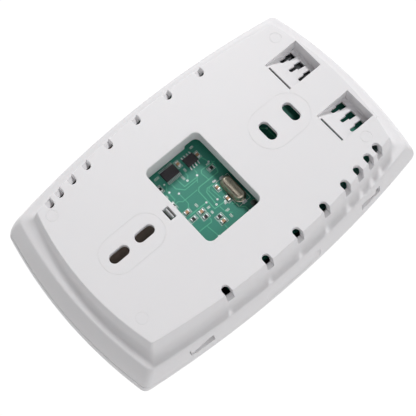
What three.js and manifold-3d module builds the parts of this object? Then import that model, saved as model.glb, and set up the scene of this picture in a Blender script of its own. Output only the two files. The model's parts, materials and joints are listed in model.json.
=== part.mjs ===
// Wall thermostat: landscape, white moulded case with bowed edges, seen mostly from its wall side.
// Millimetres. The wall is the plane y = 0, the back of the case faces +Y, the front faces -Y, +Z is up.
// The origin is the centre of the raised face that rests on the wall.
import * as THREE from 'three';
import { mergeVertices } from 'three/addons/utils/BufferGeometryUtils.js';
import Module from 'manifold-3d';

const wasm = await Module();
wasm.setup();

// ---- driving dimensions ---------------------------------------------------------------------

const GAP = 0.3;            // clearance between pieces that meet
const WALL = 2.0;           // case wall

// the raised wall face: half sizes at the corners, and how far each edge bows outwards
const FACE = { x: 57.8, z: 32.0, bowX: 4.3, bowZ: 5.5 };

// depths below the wall plane
const SEAM = 18.0;          // where the back shell meets the front shell
const DEPTH = 28.0;         // whole case

// rows of the case outside: [depth, growth in x, growth in z, corner cut]
const BACK_OUTSIDE = [
  [0, -0.3, -0.3, 0.7], [0.3, 0, 0, 0.9], [6.2, 1.8, 1.6, 1.3], [7.0, 2.7, 2.4, 1.5], [7.6, 4.2, 3.7, 1.8],
  [7.9, 5.7, 5.1, 2.0], [10.1, 7.1, 6.1, 2.0], [14.0, 9.1, 7.0, 2.0], [SEAM, 10.7, 7.6, 2.0],
];
const BACK_INSIDE = [
  [WALL, -1.8, -1.8, 1.0], [9.6, 0.4, 0.1, 1.4], [9.8, 4.0, 3.4, 2.0], [12.2, 5.4, 4.3, 2.2],
  [SEAM + 1, 8.7, 5.8, 2.6],
];
const FRONT_OUTSIDE = [
  [SEAM + GAP, 10.8, 7.6, 2.0], [20.5, 11.5, 7.7, 2.2], [22.0, 11.5, 7.7, 2.2], [25.0, 10.3, 6.7, 2.8],
  [27.2, 7.6, 4.6, 3.4], [DEPTH, 4.6, 2.2, 3.0],
];
const FRONT_INSIDE = [
  [SEAM - 1, 8.5, 5.6, 3.0], [22.5, 9.1, 5.7, 2.6], [24.8, 8.0, 4.9, 3.0], [DEPTH - WALL, 5.2, 2.8, 2.6],
];
// the locating lip of the front shell, and the foot that joins it to the wall
const LIP = { from: 16.8, outX: 7.3, outZ: 5.0, inX: 6.1, inZ: 3.8, footX: 9.4, footZ: 6.6 };

// back shell features
const WIRE_OPENING = {
  x0: -6.3, x1: 19.1, z0: -18.3, z1: 17.9, r: 2.5, skirt: 1.5, skirtDepth: 6.2, step: -0.5, deepDepth: 8.6,
};
const SMALL_HOLE = { x0: 21.0, x1: 23.7, z0: -2.6, z1: 2.4 };
const SLOT = { length: 8.2, width: 4.0 };
const LEVEL_SLOTS_X = [33.9, 45.6];
const UPRIGHT_SLOTS_X = [-26.1, -37.9];
const VENT = { width: 3.0, inset: 2.0, depth: 5.0, run: 1.5 };
const TOP_VENTS_X = [52.1, 47.0, 40.4, 32.9, 21.6, 7.6, -7.8, -23.1];
const BOTTOM_VENTS_X = [26.1, 7.8, -7.0, -20.9, -32.4, -39.8, -46.0, -51.3];

// terminal pockets: a floor that slopes from a slit near the middle down to the outer wall
const POCKET = {
  inner: -43.7, slit: 1.1, shallow: 0.9, deep: 6.1, deepFrom: -58.6, outer: -64, floor: 1.1, rim: 1.2, side: 1.3,
};
const POCKETS = [
  { z0: 6.8, z1: 20.6, keyholes: [18.6, 13.5, 8.4] },
  { z0: -21.4, z1: -7.7, keyholes: [-9.5, -14.6, -19.7] },
];
const KEYHOLE = { tail: -50.0, step: -53.5, end: -57.3, narrow: 1.6, wide: 2.8 };

// bottom wall features
const LATCH_X = [43.5, -40.7];
const LATCH = {
  width: 8.3, thick: 1.5, tip: 10.3, root: 25.4, z: -37.0, endGap: 1.7, sunk: 0.5,
  slotWidth: 10.4, slotHeight: 3.8, slotDepth: 13.2, wallX: 8.5, wallZ: 6.8,
};
// a shallow recess along the middle of the bottom wall, deeper at its left end
const SCOOP = {
  x: 0.9, halfLength: 13.6, depth: 14.0, r: 6.0, bite: 1.2, endX: -10.6, endR: 2.0, endBite: 1.9, endDepth: 13.2,
};

// circuit board
const BOARD = { x0: -61.0, x1: 23.3, z0: -34.0, z1: 34.0, back: 10.5, thick: 1.6 };
const BOARD_SCREWS = [[-55.8, 29.2], [-55.8, -29.2], [18.8, 30.5], [18.8, -30.5]];
const BOSS = { r: 2.6, pilotR: 1.2, headR: 2.1, head: 1.6, shankR: 1.1 };
const HOOK = { x0: 19.5, x1: 21.5, z0: 0.2, z1: 5.6, top: 9.0 };

// terminal block under the upper pocket
const BLOCK = { x0: -59.4, x1: -46.6, z0: 5.7, z1: 21.3, top: 7.7, bottom: 16.6 };
const SCREW = { x: -55.2, headR: 1.9, head: 1.8, shankR: 1.2, top: 8.1, tip: 13.6, boreR: 2.15 };
const CAGE = { width: 3.5, length: 5.4, top: 11.4, bottom: 15.9, wall: 0.8 };

// parts on the back of the board
const CRYSTAL = { x: -3.6, z: -6.0, width: 4.5, length: 11.2, height: 3.5 };
const RELAY = { x0: -40.0, x1: -22.0, z0: -31.0, z1: -20.5, height: 7.0 };
const CAPACITOR = { x: 14.0, z: -27.5, r: 3.15, height: 6.6 };
const SENSOR = { x: 0, z: -35.7, r: 1.1, stretch: 1.25, legX: 0.7 };
// [x, z, body x, body z, height, pitch, leads on each side, lead width, span over the leads]
const MICROCONTROLLER = [9.8, 14.6, 6.5, 4.4, 1.0, 0.65, 10, 0.28, 6.4];
const MEMORY_CHIP = [0.6, 13.4, 4.9, 3.9, 1.5, 1.27, 4, 0.42, 6.0];
// [x, z, upright]
const CHIP_CAPACITORS = [
  [5.1, 15.4, true], [-2.9, 13.4, true], [0.2, -1.5, true], [0.2, -7.3, true],
  [15.2, -1.3, false], [11.0, -4.7, false], [7.3, -12.8, false],
];

// display, keys and batteries, all in the front shell
const DISPLAY = { x0: -60.0, x1: 15.0, z0: -14.5, z1: 24.5, pane: 1.0 };
const FRAME = { back: 19.5, wall: 1.5, stripInset: 2.6, strip: 2.2 };
const LCD = { back: 23.4, front: 25.6 };
const BACKLIGHT = { back: 21.3, front: 23.2, inset: 3.4 };
const KEY_Z = -24.0;
const KEY_NAMES = ['power', 'mode', 'down', 'up', 'program'];
const KEY_X = [-47.5, -35.0, -22.5, -10.0, 2.5];
const KEY = { width: 9.0, height: 5.4, proud: 0.8, flange: 0.9, postR: 1.3 };
const SWITCH = { size: 6.0, height: 3.5, stemR: 1.7, stem: 1.8 };
const CELL = { r: 7.1, length: 48.6, nubR: 2.7, nub: 1.3, x: [37.4, 52.4], depth: 18.6 };
const BAY = { x0: 29.4, x1: 60.6, z: 27.6, wall: 1.2, shelf: 1.8, floor: 11.3 };
const SPRING = { wide: 4.2, narrow: 2.2, height: 1.6, turns: 2.2, wire: 0.3 };
const DOOR = { x0: 26.9, hingeX: 61.5, hingeDepth: 26.6, barrelR: 1.4, z: 29.0, pinR: 0.7, pin: 1.2, pinGap: 0.1 };
// the finger recess at the door's free edge
const NOTCH = { r: 9.0, depth: 1.0, reach: 5.2 };

// ---- materials ------------------------------------------------------------------------------

const material = (color, roughness, metalness = 0) => new THREE.MeshStandardMaterial({ color, roughness, metalness });
const FINISH = {
  shell: material('#e6e4e6', 0.5),
  key: material('#c9ccd0', 0.45),
  window: material('#20262b', 0.08),
  glass: material('#8f9c86', 0.15),
  diffuser: material('#eef0ea', 0.4),
  frame: material('#d9dad6', 0.5),
  rubber: material('#2b2b2d', 0.85),
  board: material('#12624a', 0.45),
  chip: material('#322d31', 0.6),
  nickel: material('#a89f8c', 0.3, 1),
  ceramic: material('#b58c6a', 0.6),
  relay: material('#2f4f7d', 0.4),
  can: material('#b9bcc0', 0.3, 1),
  terminal: material('#3b3d40', 0.5),
  steel: material('#b4b6b8', 0.3, 1),
  brass: material('#b9a15e', 0.3, 1),
  bead: material('#1d1d1f', 0.3),
  cell: material('#3a5f8a', 0.35),
};

// ---- solids -----------------------------------------------------------------------------------

// closed three.js geometry to a solid that can be joined and cut
function solid(geometry) {
  const bare = geometry.clone();
  for (const name of Object.keys(bare.attributes)) {
    if (name !== 'position') bare.deleteAttribute(name);
  }
  const merged = mergeVertices(bare, 1e-4);
  return new wasm.Manifold(new wasm.Mesh({
    numProp: 3,
    vertProperties: new Float32Array(merged.attributes.position.array),
    triVerts: new Uint32Array(merged.index.array),
  }));
}

function toGeometry(body) {
  const mesh = body.getMesh();
  const geometry = new THREE.BufferGeometry();
  geometry.setAttribute('position', new THREE.BufferAttribute(new Float32Array(mesh.vertProperties), 3));
  geometry.setIndex(new THREE.BufferAttribute(new Uint32Array(mesh.triVerts), 1));
  geometry.computeVertexNormals();
  return geometry;
}

const join = (bodies) => bodies.reduce((whole, body) => whole.add(body));
const cut = (body, tools) => tools.reduce((left, tool) => left.subtract(tool), body);

function box(x0, x1, y0, y1, z0, z1) {
  const geometry = new THREE.BoxGeometry(x1 - x0, y1 - y0, z1 - z0);
  return solid(geometry.translate((x0 + x1) / 2, (y0 + y1) / 2, (z0 + z1) / 2));
}

// a flat shape drawn in x and z, from depth d0 to the greater depth d1
function plate(shape, d0, d1, curveSegments = 3) {
  const geometry = new THREE.ExtrudeGeometry(shape, { depth: d1 - d0, bevelEnabled: false, curveSegments });
  return solid(geometry.rotateX(Math.PI / 2).translate(0, -d0, 0));
}

// a profile drawn in x and y, from z0 to z1
function rib(points, z0, z1) {
  const shape = new THREE.Shape(points.map(([x, y]) => new THREE.Vector2(x, y)));
  const geometry = new THREE.ExtrudeGeometry(shape, { depth: z1 - z0, bevelEnabled: false });
  return solid(geometry.translate(0, 0, z0));
}

// a round post along Y between two depths
function post(x, z, r, d0, d1, sides = 16) {
  const geometry = new THREE.CylinderGeometry(r, r, d1 - d0, sides);
  return solid(geometry.translate(x, -(d0 + d1) / 2, z));
}

function roundedRect(x0, x1, z0, z1, r) {
  const shape = new THREE.Shape();
  shape.moveTo(x0 + r, z0);
  shape.lineTo(x1 - r, z0);
  shape.absarc(x1 - r, z0 + r, r, -Math.PI / 2, 0);
  shape.lineTo(x1, z1 - r);
  shape.absarc(x1 - r, z1 - r, r, 0, Math.PI / 2);
  shape.lineTo(x0 + r, z1);
  shape.absarc(x0 + r, z1 - r, r, Math.PI / 2, Math.PI);
  shape.lineTo(x0, z0 + r);
  shape.absarc(x0 + r, z0 + r, r, Math.PI, 1.5 * Math.PI);
  return shape;
}

const slotShape = (x, z, width, height) =>
  roundedRect(x - width / 2, x + width / 2, z - height / 2, z + height / 2, Math.min(width, height) / 2 - 0.01);

// the case outline at one growth: four bowed sides joined by soft corners
const SIDE_STEPS = 6;
const CORNER_STEPS = 3;
function outline(growX, growZ, corner) {
  const x = FACE.x + growX;
  const z = FACE.z + growZ;
  const corners = [[x, z], [-x, z], [-x, -z], [x, -z]].map(([a, b]) => new THREE.Vector2(a, b));
  const pulls = [[0, z + 2 * FACE.bowZ], [-x - 2 * FACE.bowX, 0], [0, -z - 2 * FACE.bowZ], [x + 2 * FACE.bowX, 0]];
  const sides = corners.map((start, i) =>
    new THREE.QuadraticBezierCurve(start, new THREE.Vector2(...pulls[i]), corners[(i + 1) % 4]));
  const trims = [corner / (2 * x), corner / (2 * z), corner / (2 * x), corner / (2 * z)];
  const points = [];
  sides.forEach((side, i) => {
    for (let k = 0; k <= SIDE_STEPS; k += 1) {
      points.push(side.getPoint(trims[i] + (1 - 2 * trims[i]) * k / SIDE_STEPS));
    }
    const next = sides[(i + 1) % 4].getPoint(trims[(i + 1) % 4]);
    const bend = new THREE.QuadraticBezierCurve(points[points.length - 1], corners[(i + 1) % 4], next);
    for (let k = 1; k < CORNER_STEPS; k += 1) points.push(bend.getPoint(k / CORNER_STEPS));
  });
  return points;
}

// a closed body through rows of outlines, shallowest first
function loft(rows) {
  const rings = rows.map(([depth, growX, growZ, corner]) =>
    outline(growX, growZ, corner).map((p) => [p.x, -depth, p.y]));
  const count = rings[0].length;
  const index = [];
  for (let row = 0; row + 1 < rings.length; row += 1) {
    for (let i = 0; i < count; i += 1) {
      const a = row * count + i;
      const b = row * count + (i + 1) % count;
      index.push(a, b, b + count, a, b + count, a + count);
    }
  }
  const last = (rings.length - 1) * count;
  for (let i = 1; i + 1 < count; i += 1) {
    index.push(0, i + 1, i);
    index.push(last, last + i, last + i + 1);
  }
  const geometry = new THREE.BufferGeometry();
  geometry.setAttribute('position', new THREE.Float32BufferAttribute(rings.flat(2), 3));
  geometry.setIndex(index);
  return solid(geometry);
}

const wallGrown = (grow, d0, d1) => loft([[d0, grow, grow, 3.2], [d1, grow, grow, 3.2]]);

const thermostat = new THREE.Group();
function add(name, body, finish, position = [0, 0, 0]) {
  const mesh = new THREE.Mesh(toGeometry(body), finish);
  mesh.name = name;
  mesh.position.set(...position);
  thermostat.add(mesh);
}

// ---- back shell --------------------------------------------------------------------------------

const edgeZ = (x) => FACE.z + FACE.bowZ * (1 - (x / FACE.x) ** 2);

// the slot through the edge of the raised face; side is 1 at the top and -1 at the bottom
function ventCut(x, side) {
  const head = edgeZ(x) - VENT.inset;
  const foot = edgeZ(x) + VENT.run;
  const r = VENT.width / 2;
  const shape = new THREE.Shape();
  shape.moveTo(x - r, foot * side);
  shape.lineTo(x - r, head * side);
  shape.absarc(x, head * side, r, Math.PI, 0, side < 0);
  shape.lineTo(x + r, foot * side);
  return plate(shape, -1, VENT.depth, 5);
}

function pocketBlock(pocket) {
  const { inner, slit, shallow, deep, deepFrom, outer, floor, side } = POCKET;
  const start = inner - slit;
  const under = (depth) => -(depth + floor);
  const profile = [
    [inner + side, -0.6], [inner + side, under(shallow)], [start, under(shallow)], [deepFrom, under(deep)],
    [outer, under(deep)], [outer, -0.6],
  ];
  return rib(profile.reverse(), pocket.z0 - side, pocket.z1 + side);
}

function pocketCuts(pocket) {
  const { inner, slit, shallow, deep, deepFrom, outer, rim } = POCKET;
  const start = inner - slit;
  const profile = [[inner, 1], [outer, 1], [outer, -deep], [deepFrom, -deep], [start, -shallow], [inner, -shallow]];
  const hollow = rib(profile, pocket.z0, pocket.z1).intersect(wallGrown(-rim, -1, 12));
  const slitCut = box(start, inner, -12, 1, pocket.z0 + 0.5, pocket.z1 - 1.6);
  const keyholes = pocket.keyholes.map((z) => keyholeCut(z));
  return [hollow, slitCut, ...keyholes];
}

function keyholeCut(z) {
  const { tail, step, end, narrow, wide } = KEYHOLE;
  const throat = slotShape((tail + step) / 2 - 0.5, z, tail - step + 1.0, narrow);
  return plate(throat, 0, 9, 3).add(box(end, step, -9, 0, z - wide / 2, z + wide / 2));
}

function scoopCut() {
  const { x, halfLength, depth, r, bite, endX, endR, endBite, endDepth } = SCOOP;
  const wall = FACE.z + FACE.bowZ + LATCH.wallZ + 0.2;
  const groove = new THREE.CylinderGeometry(r, r, 2 * halfLength, 48).rotateZ(Math.PI / 2);
  const end = new THREE.SphereGeometry(endR, 16, 12);
  groove.translate(x, -depth, -wall - r + bite);
  end.translate(endX, -endDepth, -wall - endR + endBite);
  return solid(groove).add(solid(end));
}

function backShell() {
  const outside = loft(BACK_OUTSIDE);
  const { x0, x1, z0, z1, r, skirt, skirtDepth, step, deepDepth } = WIRE_OPENING;
  const grown = (by) => roundedRect(x0 - by, x1 + by, z0 - by, z1 + by, r + by);
  const shortSkirt = plate(grown(skirt), 1, skirtDepth, 4);
  const deepSkirt = box(step, x1 + skirt, -deepDepth, -1, z1, z1 + skirt).intersect(plate(grown(skirt), 0, 12, 4));
  let shell = cut(outside, [loft(BACK_INSIDE)]);
  shell = join([shell, shortSkirt, deepSkirt, ...POCKETS.map((p) => pocketBlock(p).intersect(outside))]);
  const slots = [
    ...LEVEL_SLOTS_X.map((x) => plate(slotShape(x, 0, SLOT.length, SLOT.width), -1, 4)),
    ...UPRIGHT_SLOTS_X.map((x) => plate(slotShape(x, 0, SLOT.width, SLOT.length), -1, 4)),
  ];
  const latchSlots = LATCH_X.map((x) => box(x - LATCH.slotWidth / 2, x + LATCH.slotWidth / 2,
    -LATCH.slotDepth - LATCH.slotHeight / 2, -LATCH.slotDepth + LATCH.slotHeight / 2, -50, -36));
  return cut(shell, [
    plate(grown(0), -1, 12, 4),
    box(SMALL_HOLE.x0, SMALL_HOLE.x1, -4, 1, SMALL_HOLE.z0, SMALL_HOLE.z1),
    ...slots,
    ...latchSlots,
    ...TOP_VENTS_X.map((x) => ventCut(x, 1)),
    ...BOTTOM_VENTS_X.map((x) => ventCut(x, -1)),
    ...POCKETS.flatMap(pocketCuts),
    scoopCut(),
  ]);
}

// ---- front shell -------------------------------------------------------------------------------

// the battery bay: a walled block behind the door, open towards the door
function batteryBay() {
  const { x0, x1, z, wall, floor, shelf } = BAY;
  const end = z + wall + shelf;
  const block = box(x0 - wall - shelf, x1 + wall, -(DEPTH - WALL + 0.2), -(floor - wall), -end, end);
  return cut(block, [box(x0, x1, -DEPTH, -floor, -z, z)]);
}

// what the closed door needs: the plate, the barrel along its hinge edge, and room for both to swing
function doorRoom() {
  const zEnd = DOOR.z + GAP;
  const opening = plate(roundedRect(DOOR.x0 - GAP, DOOR.hingeX + DOOR.barrelR + GAP, -zEnd, zEnd, 0.6),
    DEPTH - WALL - GAP, DEPTH + 1, 4);
  const barrel = new THREE.CylinderGeometry(DOOR.barrelR + GAP, DOOR.barrelR + GAP, 2 * zEnd, 20);
  return opening.add(solid(barrel.rotateX(Math.PI / 2).translate(DOOR.hingeX, -DOOR.hingeDepth, 0)));
}

function frontShell() {
  const inner = DEPTH - WALL;
  const { from, outX, outZ, inX, inZ, footX, footZ } = LIP;
  const inside = loft([[from - 1, inX, inZ, 2.4], [SEAM + 3, inX, inZ, 2.4]]);
  const lip = loft([[from, outX, outZ, 2.8], [SEAM + 2 * GAP, outX, outZ, 2.8]]);
  const lipFoot = loft([[SEAM + GAP, footX, footZ, 3.0], [SEAM + WALL, footX, footZ, 3.0]]);
  const shell = cut(loft(FRONT_OUTSIDE), [loft(FRONT_INSIDE)]);
  const bosses = BOARD_SCREWS.map(([x, z]) => post(x, z, BOSS.r, BOARD.back + BOARD.thick + GAP, inner + 0.5));
  const hook = rib([[HOOK.x0, -inner - 0.5], [HOOK.x1, -inner - 0.5], [HOOK.x1, -HOOK.top - 0.8],
    [HOOK.x1 - 0.8, -HOOK.top], [HOOK.x0, -HOOK.top]], HOOK.z0, HOOK.z1);
  const hingeBlocks = [-1, 1].map((side) => box(DOOR.hingeX - 2, DOOR.hingeX + 2.4, -inner - 0.5, -inner + 1.6,
    Math.min(side * (DOOR.z + GAP), side * (DOOR.z + 3)), Math.max(side * (DOOR.z + GAP), side * (DOOR.z + 3))));
  const solidPart = join([shell, cut(lip.add(lipFoot), [inside]), hook, ...bosses, ...hingeBlocks]);
  const notch = new THREE.CylinderGeometry(NOTCH.r, NOTCH.r, 2 * NOTCH.depth, 32);
  const fingerNotch = solid(notch.translate(DOOR.x0 + NOTCH.reach, -DEPTH, 0));
  const keyholes = KEY_X.map((x) => plate(roundedRect(x - KEY.width / 2 - GAP, x + KEY.width / 2 + GAP,
    KEY_Z - KEY.height / 2 - GAP, KEY_Z + KEY.height / 2 + GAP, 1.5), inner - 1, DEPTH + 1, 3));
  const pinHoleR = DOOR.pinR + DOOR.pinGap;
  const pinHole = new THREE.CylinderGeometry(pinHoleR, pinHoleR, 2 * (DOOR.z + DOOR.pin + GAP), 12);
  const pilotHoles = BOARD_SCREWS.map(([x, z]) => post(x, z, BOSS.pilotR, BOARD.back, BOARD.back + 9, 10));
  const { x0, x1, z0, z1, pane } = DISPLAY;
  const lensSeat = roundedRect(x0 - GAP, x1 + GAP, z0 - GAP, z1 + GAP, 2.5);
  const lensOpening = roundedRect(x0 + 2.5, x1 - 2.5, z0 + 2.5, z1 - 2.5, 1.5);
  const opened = cut(solidPart, [
    plate(lensSeat, DEPTH - pane - GAP, DEPTH + 1, 4),
    plate(lensOpening, inner - 1, DEPTH + 1, 4),
    fingerNotch,
    ...keyholes,
    ...pilotHoles,
    box(BAY.x0, BAY.x1, -DEPTH, -inner + 1, -BAY.z, BAY.z),
  ]);
  return cut(join([opened, batteryBay()]), [
    doorRoom(),
    solid(pinHole.rotateX(Math.PI / 2).translate(DOOR.hingeX, -DOOR.hingeDepth, 0)),
  ]);
}

add('back_shell', backShell(), FINISH.shell);
add('front_shell', frontShell(), FINISH.shell);

// ---- release latches: sprung tongues that fill the two slots of the bottom wall ----------------

function latch(x) {
  const { width, thick, tip, root, slotDepth, slotHeight, slotWidth, endGap, sunk, z } = LATCH;
  const bead = slotDepth - slotHeight / 2 + 2 * GAP;
  const beadEnd = slotDepth + slotHeight / 2 - GAP;
  const reach = outerZ(x) - sunk;
  const side = [[-tip, z + thick / 2], [-root, z + thick / 2], [-root, z - thick / 2], [-beadEnd, z - thick / 2],
    [-beadEnd, -reach], [-bead, -reach + 0.5], [-bead, z - thick / 2], [-tip, z - thick / 2]];
  const shape = new THREE.Shape(side.map(([y, zz]) => new THREE.Vector2(y, zz)));
  const geometry = new THREE.ExtrudeGeometry(shape, { depth: width, bevelEnabled: false });
  // the profile is drawn in y and z and extruded along x
  const toWorld = new THREE.Matrix4().makeBasis(new THREE.Vector3(0, 1, 0), new THREE.Vector3(0, 0, 1),
    new THREE.Vector3(1, 0, 0));
  return solid(geometry.applyMatrix4(toWorld).translate(x - slotWidth / 2 + endGap, 0, 0));
}

// how far below the middle the bottom wall is at the depth of the latches
function outerZ(x) {
  const halfX = FACE.x + LATCH.wallX;
  return FACE.z + LATCH.wallZ + FACE.bowZ * (1 - (x / halfX) ** 2);
}

add('latch_right', latch(LATCH_X[0]), FINISH.shell);
add('latch_left', latch(LATCH_X[1]), FINISH.shell);

// ---- circuit board and its parts -----------------------------------------------------------------

const boardFront = BOARD.back + BOARD.thick;

function mainBoard() {
  const blank = plate(roundedRect(BOARD.x0, BOARD.x1, BOARD.z0, BOARD.z1, 1.5), BOARD.back, boardFront);
  const screwHoles = BOARD_SCREWS.map(([x, z]) => post(x, z, 1.5, BOARD.back - 1, boardFront + 1, 12));
  return cut(blank, [
    ...screwHoles,
    box(BOARD.x0 - 1, BLOCK.x1 + GAP, -boardFront - 1, -BOARD.back + 1, BLOCK.z0 - GAP, BLOCK.z1 + GAP),
    box(HOOK.x0 - GAP, HOOK.x1 + GAP, -boardFront - 1, -BOARD.back + 1, HOOK.z0 - GAP, HOOK.z1 + GAP),
  ]);
}

// a part that sits on the board's back: its height above the board, with a gap to the board
function onBoard(x0, x1, z0, z1, height, lift = 0.02) {
  return box(x0, x1, -BOARD.back + lift, -BOARD.back + lift + height, z0, z1);
}

// a chip with its rows of leads above and below the body
function chip(x, z, bodyX, bodyZ, height, pitch, perSide, leadX, span) {
  const body = onBoard(x - bodyX / 2, x + bodyX / 2, z - bodyZ / 2, z + bodyZ / 2, height, 0.12);
  const leads = [];
  for (const side of [-1, 1]) {
    for (let i = 0; i < perSide; i += 1) {
      const at = x + (i - (perSide - 1) / 2) * pitch;
      const edge = [side * (bodyZ / 2 - 0.2), side * span / 2].sort((p, q) => p - q);
      leads.push(onBoard(at - leadX / 2, at + leadX / 2, z + edge[0], z + edge[1], 0.4));
    }
  }
  return join([body, ...leads]);
}

// a can crystal lying along Z, with a foot pad at each end
function crystal() {
  const can = plate(slotShape(CRYSTAL.x, CRYSTAL.z, CRYSTAL.width, CRYSTAL.length), BOARD.back - CRYSTAL.height,
    BOARD.back - 0.5, 5);
  const flange = plate(slotShape(CRYSTAL.x, CRYSTAL.z, CRYSTAL.width + 0.7, CRYSTAL.length + 0.7),
    BOARD.back - 0.8, BOARD.back - 0.3, 5);
  const feet = onBoard(CRYSTAL.x - 0.9, CRYSTAL.x + 0.9, CRYSTAL.z - CRYSTAL.length / 2 - 1.1,
    CRYSTAL.z + CRYSTAL.length / 2 + 1.1, 0.4);
  return join([can, flange, feet]);
}

function chipCapacitor(x, z, upright) {
  const [halfX, halfZ] = upright ? [0.65, 1.05] : [1.05, 0.65];
  return onBoard(x - halfX, x + halfX, z - halfZ, z + halfZ, 0.7);
}

function temperatureSensor() {
  const { x, z, r, stretch, legX } = SENSOR;
  const bead = new THREE.SphereGeometry(r, 12, 8).scale(1, 1, stretch);
  const legs = [x - legX, x + legX].map((at) =>
    box(at - 0.2, at + 0.2, -BOARD.back + 0.05, -BOARD.back + 0.45, z, BOARD.z0 + 2.5));
  return join([solid(bead.translate(x, -BOARD.back + 0.25, z)), ...legs]);
}

function boardScrew() {
  const { headR, head, shankR } = BOSS;
  const slot = box(-1.5, 1.5, -BOARD.back + 0.9, -BOARD.back + 2, -0.3, 0.3);
  const cross = box(-0.3, 0.3, -BOARD.back + 0.9, -BOARD.back + 2, -1.5, 1.5);
  return cut(post(0, 0, headR, BOARD.back - head, BOARD.back - 0.02, 12)
    .add(post(0, 0, shankR, BOARD.back - 0.5, BOARD.back + 8, 8)), [slot, cross]);
}

add('main_board', mainBoard(), FINISH.board);
add('microcontroller', chip(...MICROCONTROLLER), FINISH.chip);
add('memory_chip', chip(...MEMORY_CHIP), FINISH.chip);
add('crystal', crystal(), FINISH.nickel);
CHIP_CAPACITORS.forEach((place, i) => add(`chip_capacitor_${i + 1}`, chipCapacitor(...place), FINISH.ceramic));
add('relay', onBoard(RELAY.x0, RELAY.x1, RELAY.z0, RELAY.z1, RELAY.height, GAP), FINISH.relay);
const capacitorTop = BOARD.back - CAPACITOR.height;
add('supply_capacitor', post(CAPACITOR.x, CAPACITOR.z, CAPACITOR.r, capacitorTop, BOARD.back - GAP, 20), FINISH.can);
add('temperature_sensor', temperatureSensor(), FINISH.bead);
BOARD_SCREWS.forEach(([x, z], i) => add(`board_screw_${i + 1}`, boardScrew(), FINISH.steel, [x, 0, z]));

// ---- terminal block: each screw turns in its bore and lifts a cage that clamps the wire -------------

function terminalBlock() {
  const { x0, x1, z0, z1, top, bottom } = BLOCK;
  const bores = POCKETS[0].keyholes.map((z) => post(SCREW.x, z, SCREW.boreR, top - 1, CAGE.top - 1.4, 16));
  const chambers = POCKETS[0].keyholes.map((z) => box(SCREW.x - CAGE.length / 2 - GAP, x1 + 1, -bottom + 0.4,
    -CAGE.top + 1.7, z - CAGE.width / 2 - 0.2, z + CAGE.width / 2 + 0.2));
  return cut(box(x0, x1, -bottom, -top, z0, z1), [...bores, ...chambers]);
}

function terminalScrew() {
  const { headR, head, shankR, top, tip } = SCREW;
  const blade = box(-headR - 1, headR + 1, -top - 0.9, -top + 1, -0.35, 0.35);
  return post(0, 0, headR, top, top + head, 20).add(post(0, 0, shankR, top + head - 0.1, tip, 12)).subtract(blade);
}

function terminalCage() {
  const { width, length, top, bottom, wall } = CAGE;
  const frame = box(-length / 2, length / 2, -bottom, -top, -width / 2, width / 2);
  const window = box(-length, length, -bottom + wall, -top - wall, -width / 2 + 0.5, width / 2 - 0.5);
  return cut(frame, [window, post(0, 0, SCREW.shankR + 0.15, top - 1, top + 1.5, 12)]);
}

add('terminal_block', terminalBlock(), FINISH.terminal);
POCKETS[0].keyholes.forEach((z, i) => {
  add(`terminal_screw_${i + 1}`, terminalScrew(), FINISH.steel, [SCREW.x, 0, z]);
  add(`terminal_cage_${i + 1}`, terminalCage(), FINISH.brass, [SCREW.x, 0, z]);
});

// ---- display ---------------------------------------------------------------------------------------

function displayFrame() {
  const { x0, x1, z0, z1 } = DISPLAY;
  const inner = DEPTH - WALL - GAP;
  const { back, wall, stripInset, strip } = FRAME;
  const stripZ = z0 + stripInset;
  const tray = cut(box(x0, x1, -inner, -back, z0, z1), [
    box(x0 + wall, x1 - wall, -inner - 1, -back - wall, z0 + wall, z1 - wall),
    box(x0 + 6, x1 - 6, -back - wall - 1, 1 - back, stripZ, stripZ + strip + 2 * GAP),
  ]);
  const legs = [x0 + 1.6, x1 - 1.6].flatMap((x) => [z0 + 1.6, z1 - 1.6].map((z) =>
    post(x, z, 1.5, boardFront + 0.1, back + 0.5, 12)));
  return join([tray, ...legs]);
}

const inset = FRAME.wall + GAP;
const insideFrame = (back, front, foot) => box(DISPLAY.x0 + inset, DISPLAY.x1 - inset, -front, -back,
  DISPLAY.z0 + inset + foot, DISPLAY.z1 - inset);
const stripFoot = DISPLAY.z0 + FRAME.stripInset + GAP;
const pane = roundedRect(DISPLAY.x0, DISPLAY.x1, DISPLAY.z0, DISPLAY.z1, 2.3);
add('display_window', plate(pane, DEPTH - DISPLAY.pane, DEPTH), FINISH.window);
add('display_frame', displayFrame(), FINISH.frame);
add('lcd_panel', insideFrame(LCD.back, LCD.front, 0), FINISH.glass);
add('backlight_panel', insideFrame(BACKLIGHT.back, BACKLIGHT.front, BACKLIGHT.inset), FINISH.diffuser);
add('contact_strip', box(DISPLAY.x0 + 6.3, DISPLAY.x1 - 6.3, -BACKLIGHT.front, -boardFront - 0.1,
  stripFoot, stripFoot + FRAME.strip), FINISH.rubber);

// ---- keys, each on its own board switch ------------------------------------------------------------

function keyCap() {
  const { width, height, proud, flange, postR } = KEY;
  const back = DEPTH - WALL - GAP;
  const face = (grow) => roundedRect(-width / 2 - grow, width / 2 + grow, -height / 2 - grow, height / 2 + grow, 1.3);
  const cap = plate(face(0), back - 0.1, DEPTH + proud, 2);
  const rim = plate(face(1), back - flange, back, 1);
  return join([cap, rim, post(0, 0, postR, switchTip + 0.02, back - 0.5, 12)]);
}

const switchFace = boardFront + 0.1 + SWITCH.height;
const switchTip = switchFace + SWITCH.stem;

function switchBody() {
  const half = SWITCH.size / 2;
  return cut(box(-half, half, -switchFace, -boardFront - 0.1, -half, half),
    [post(0, 0, SWITCH.stemR + 0.2, switchFace - 1.6, switchFace + 1, 14)]);
}

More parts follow.
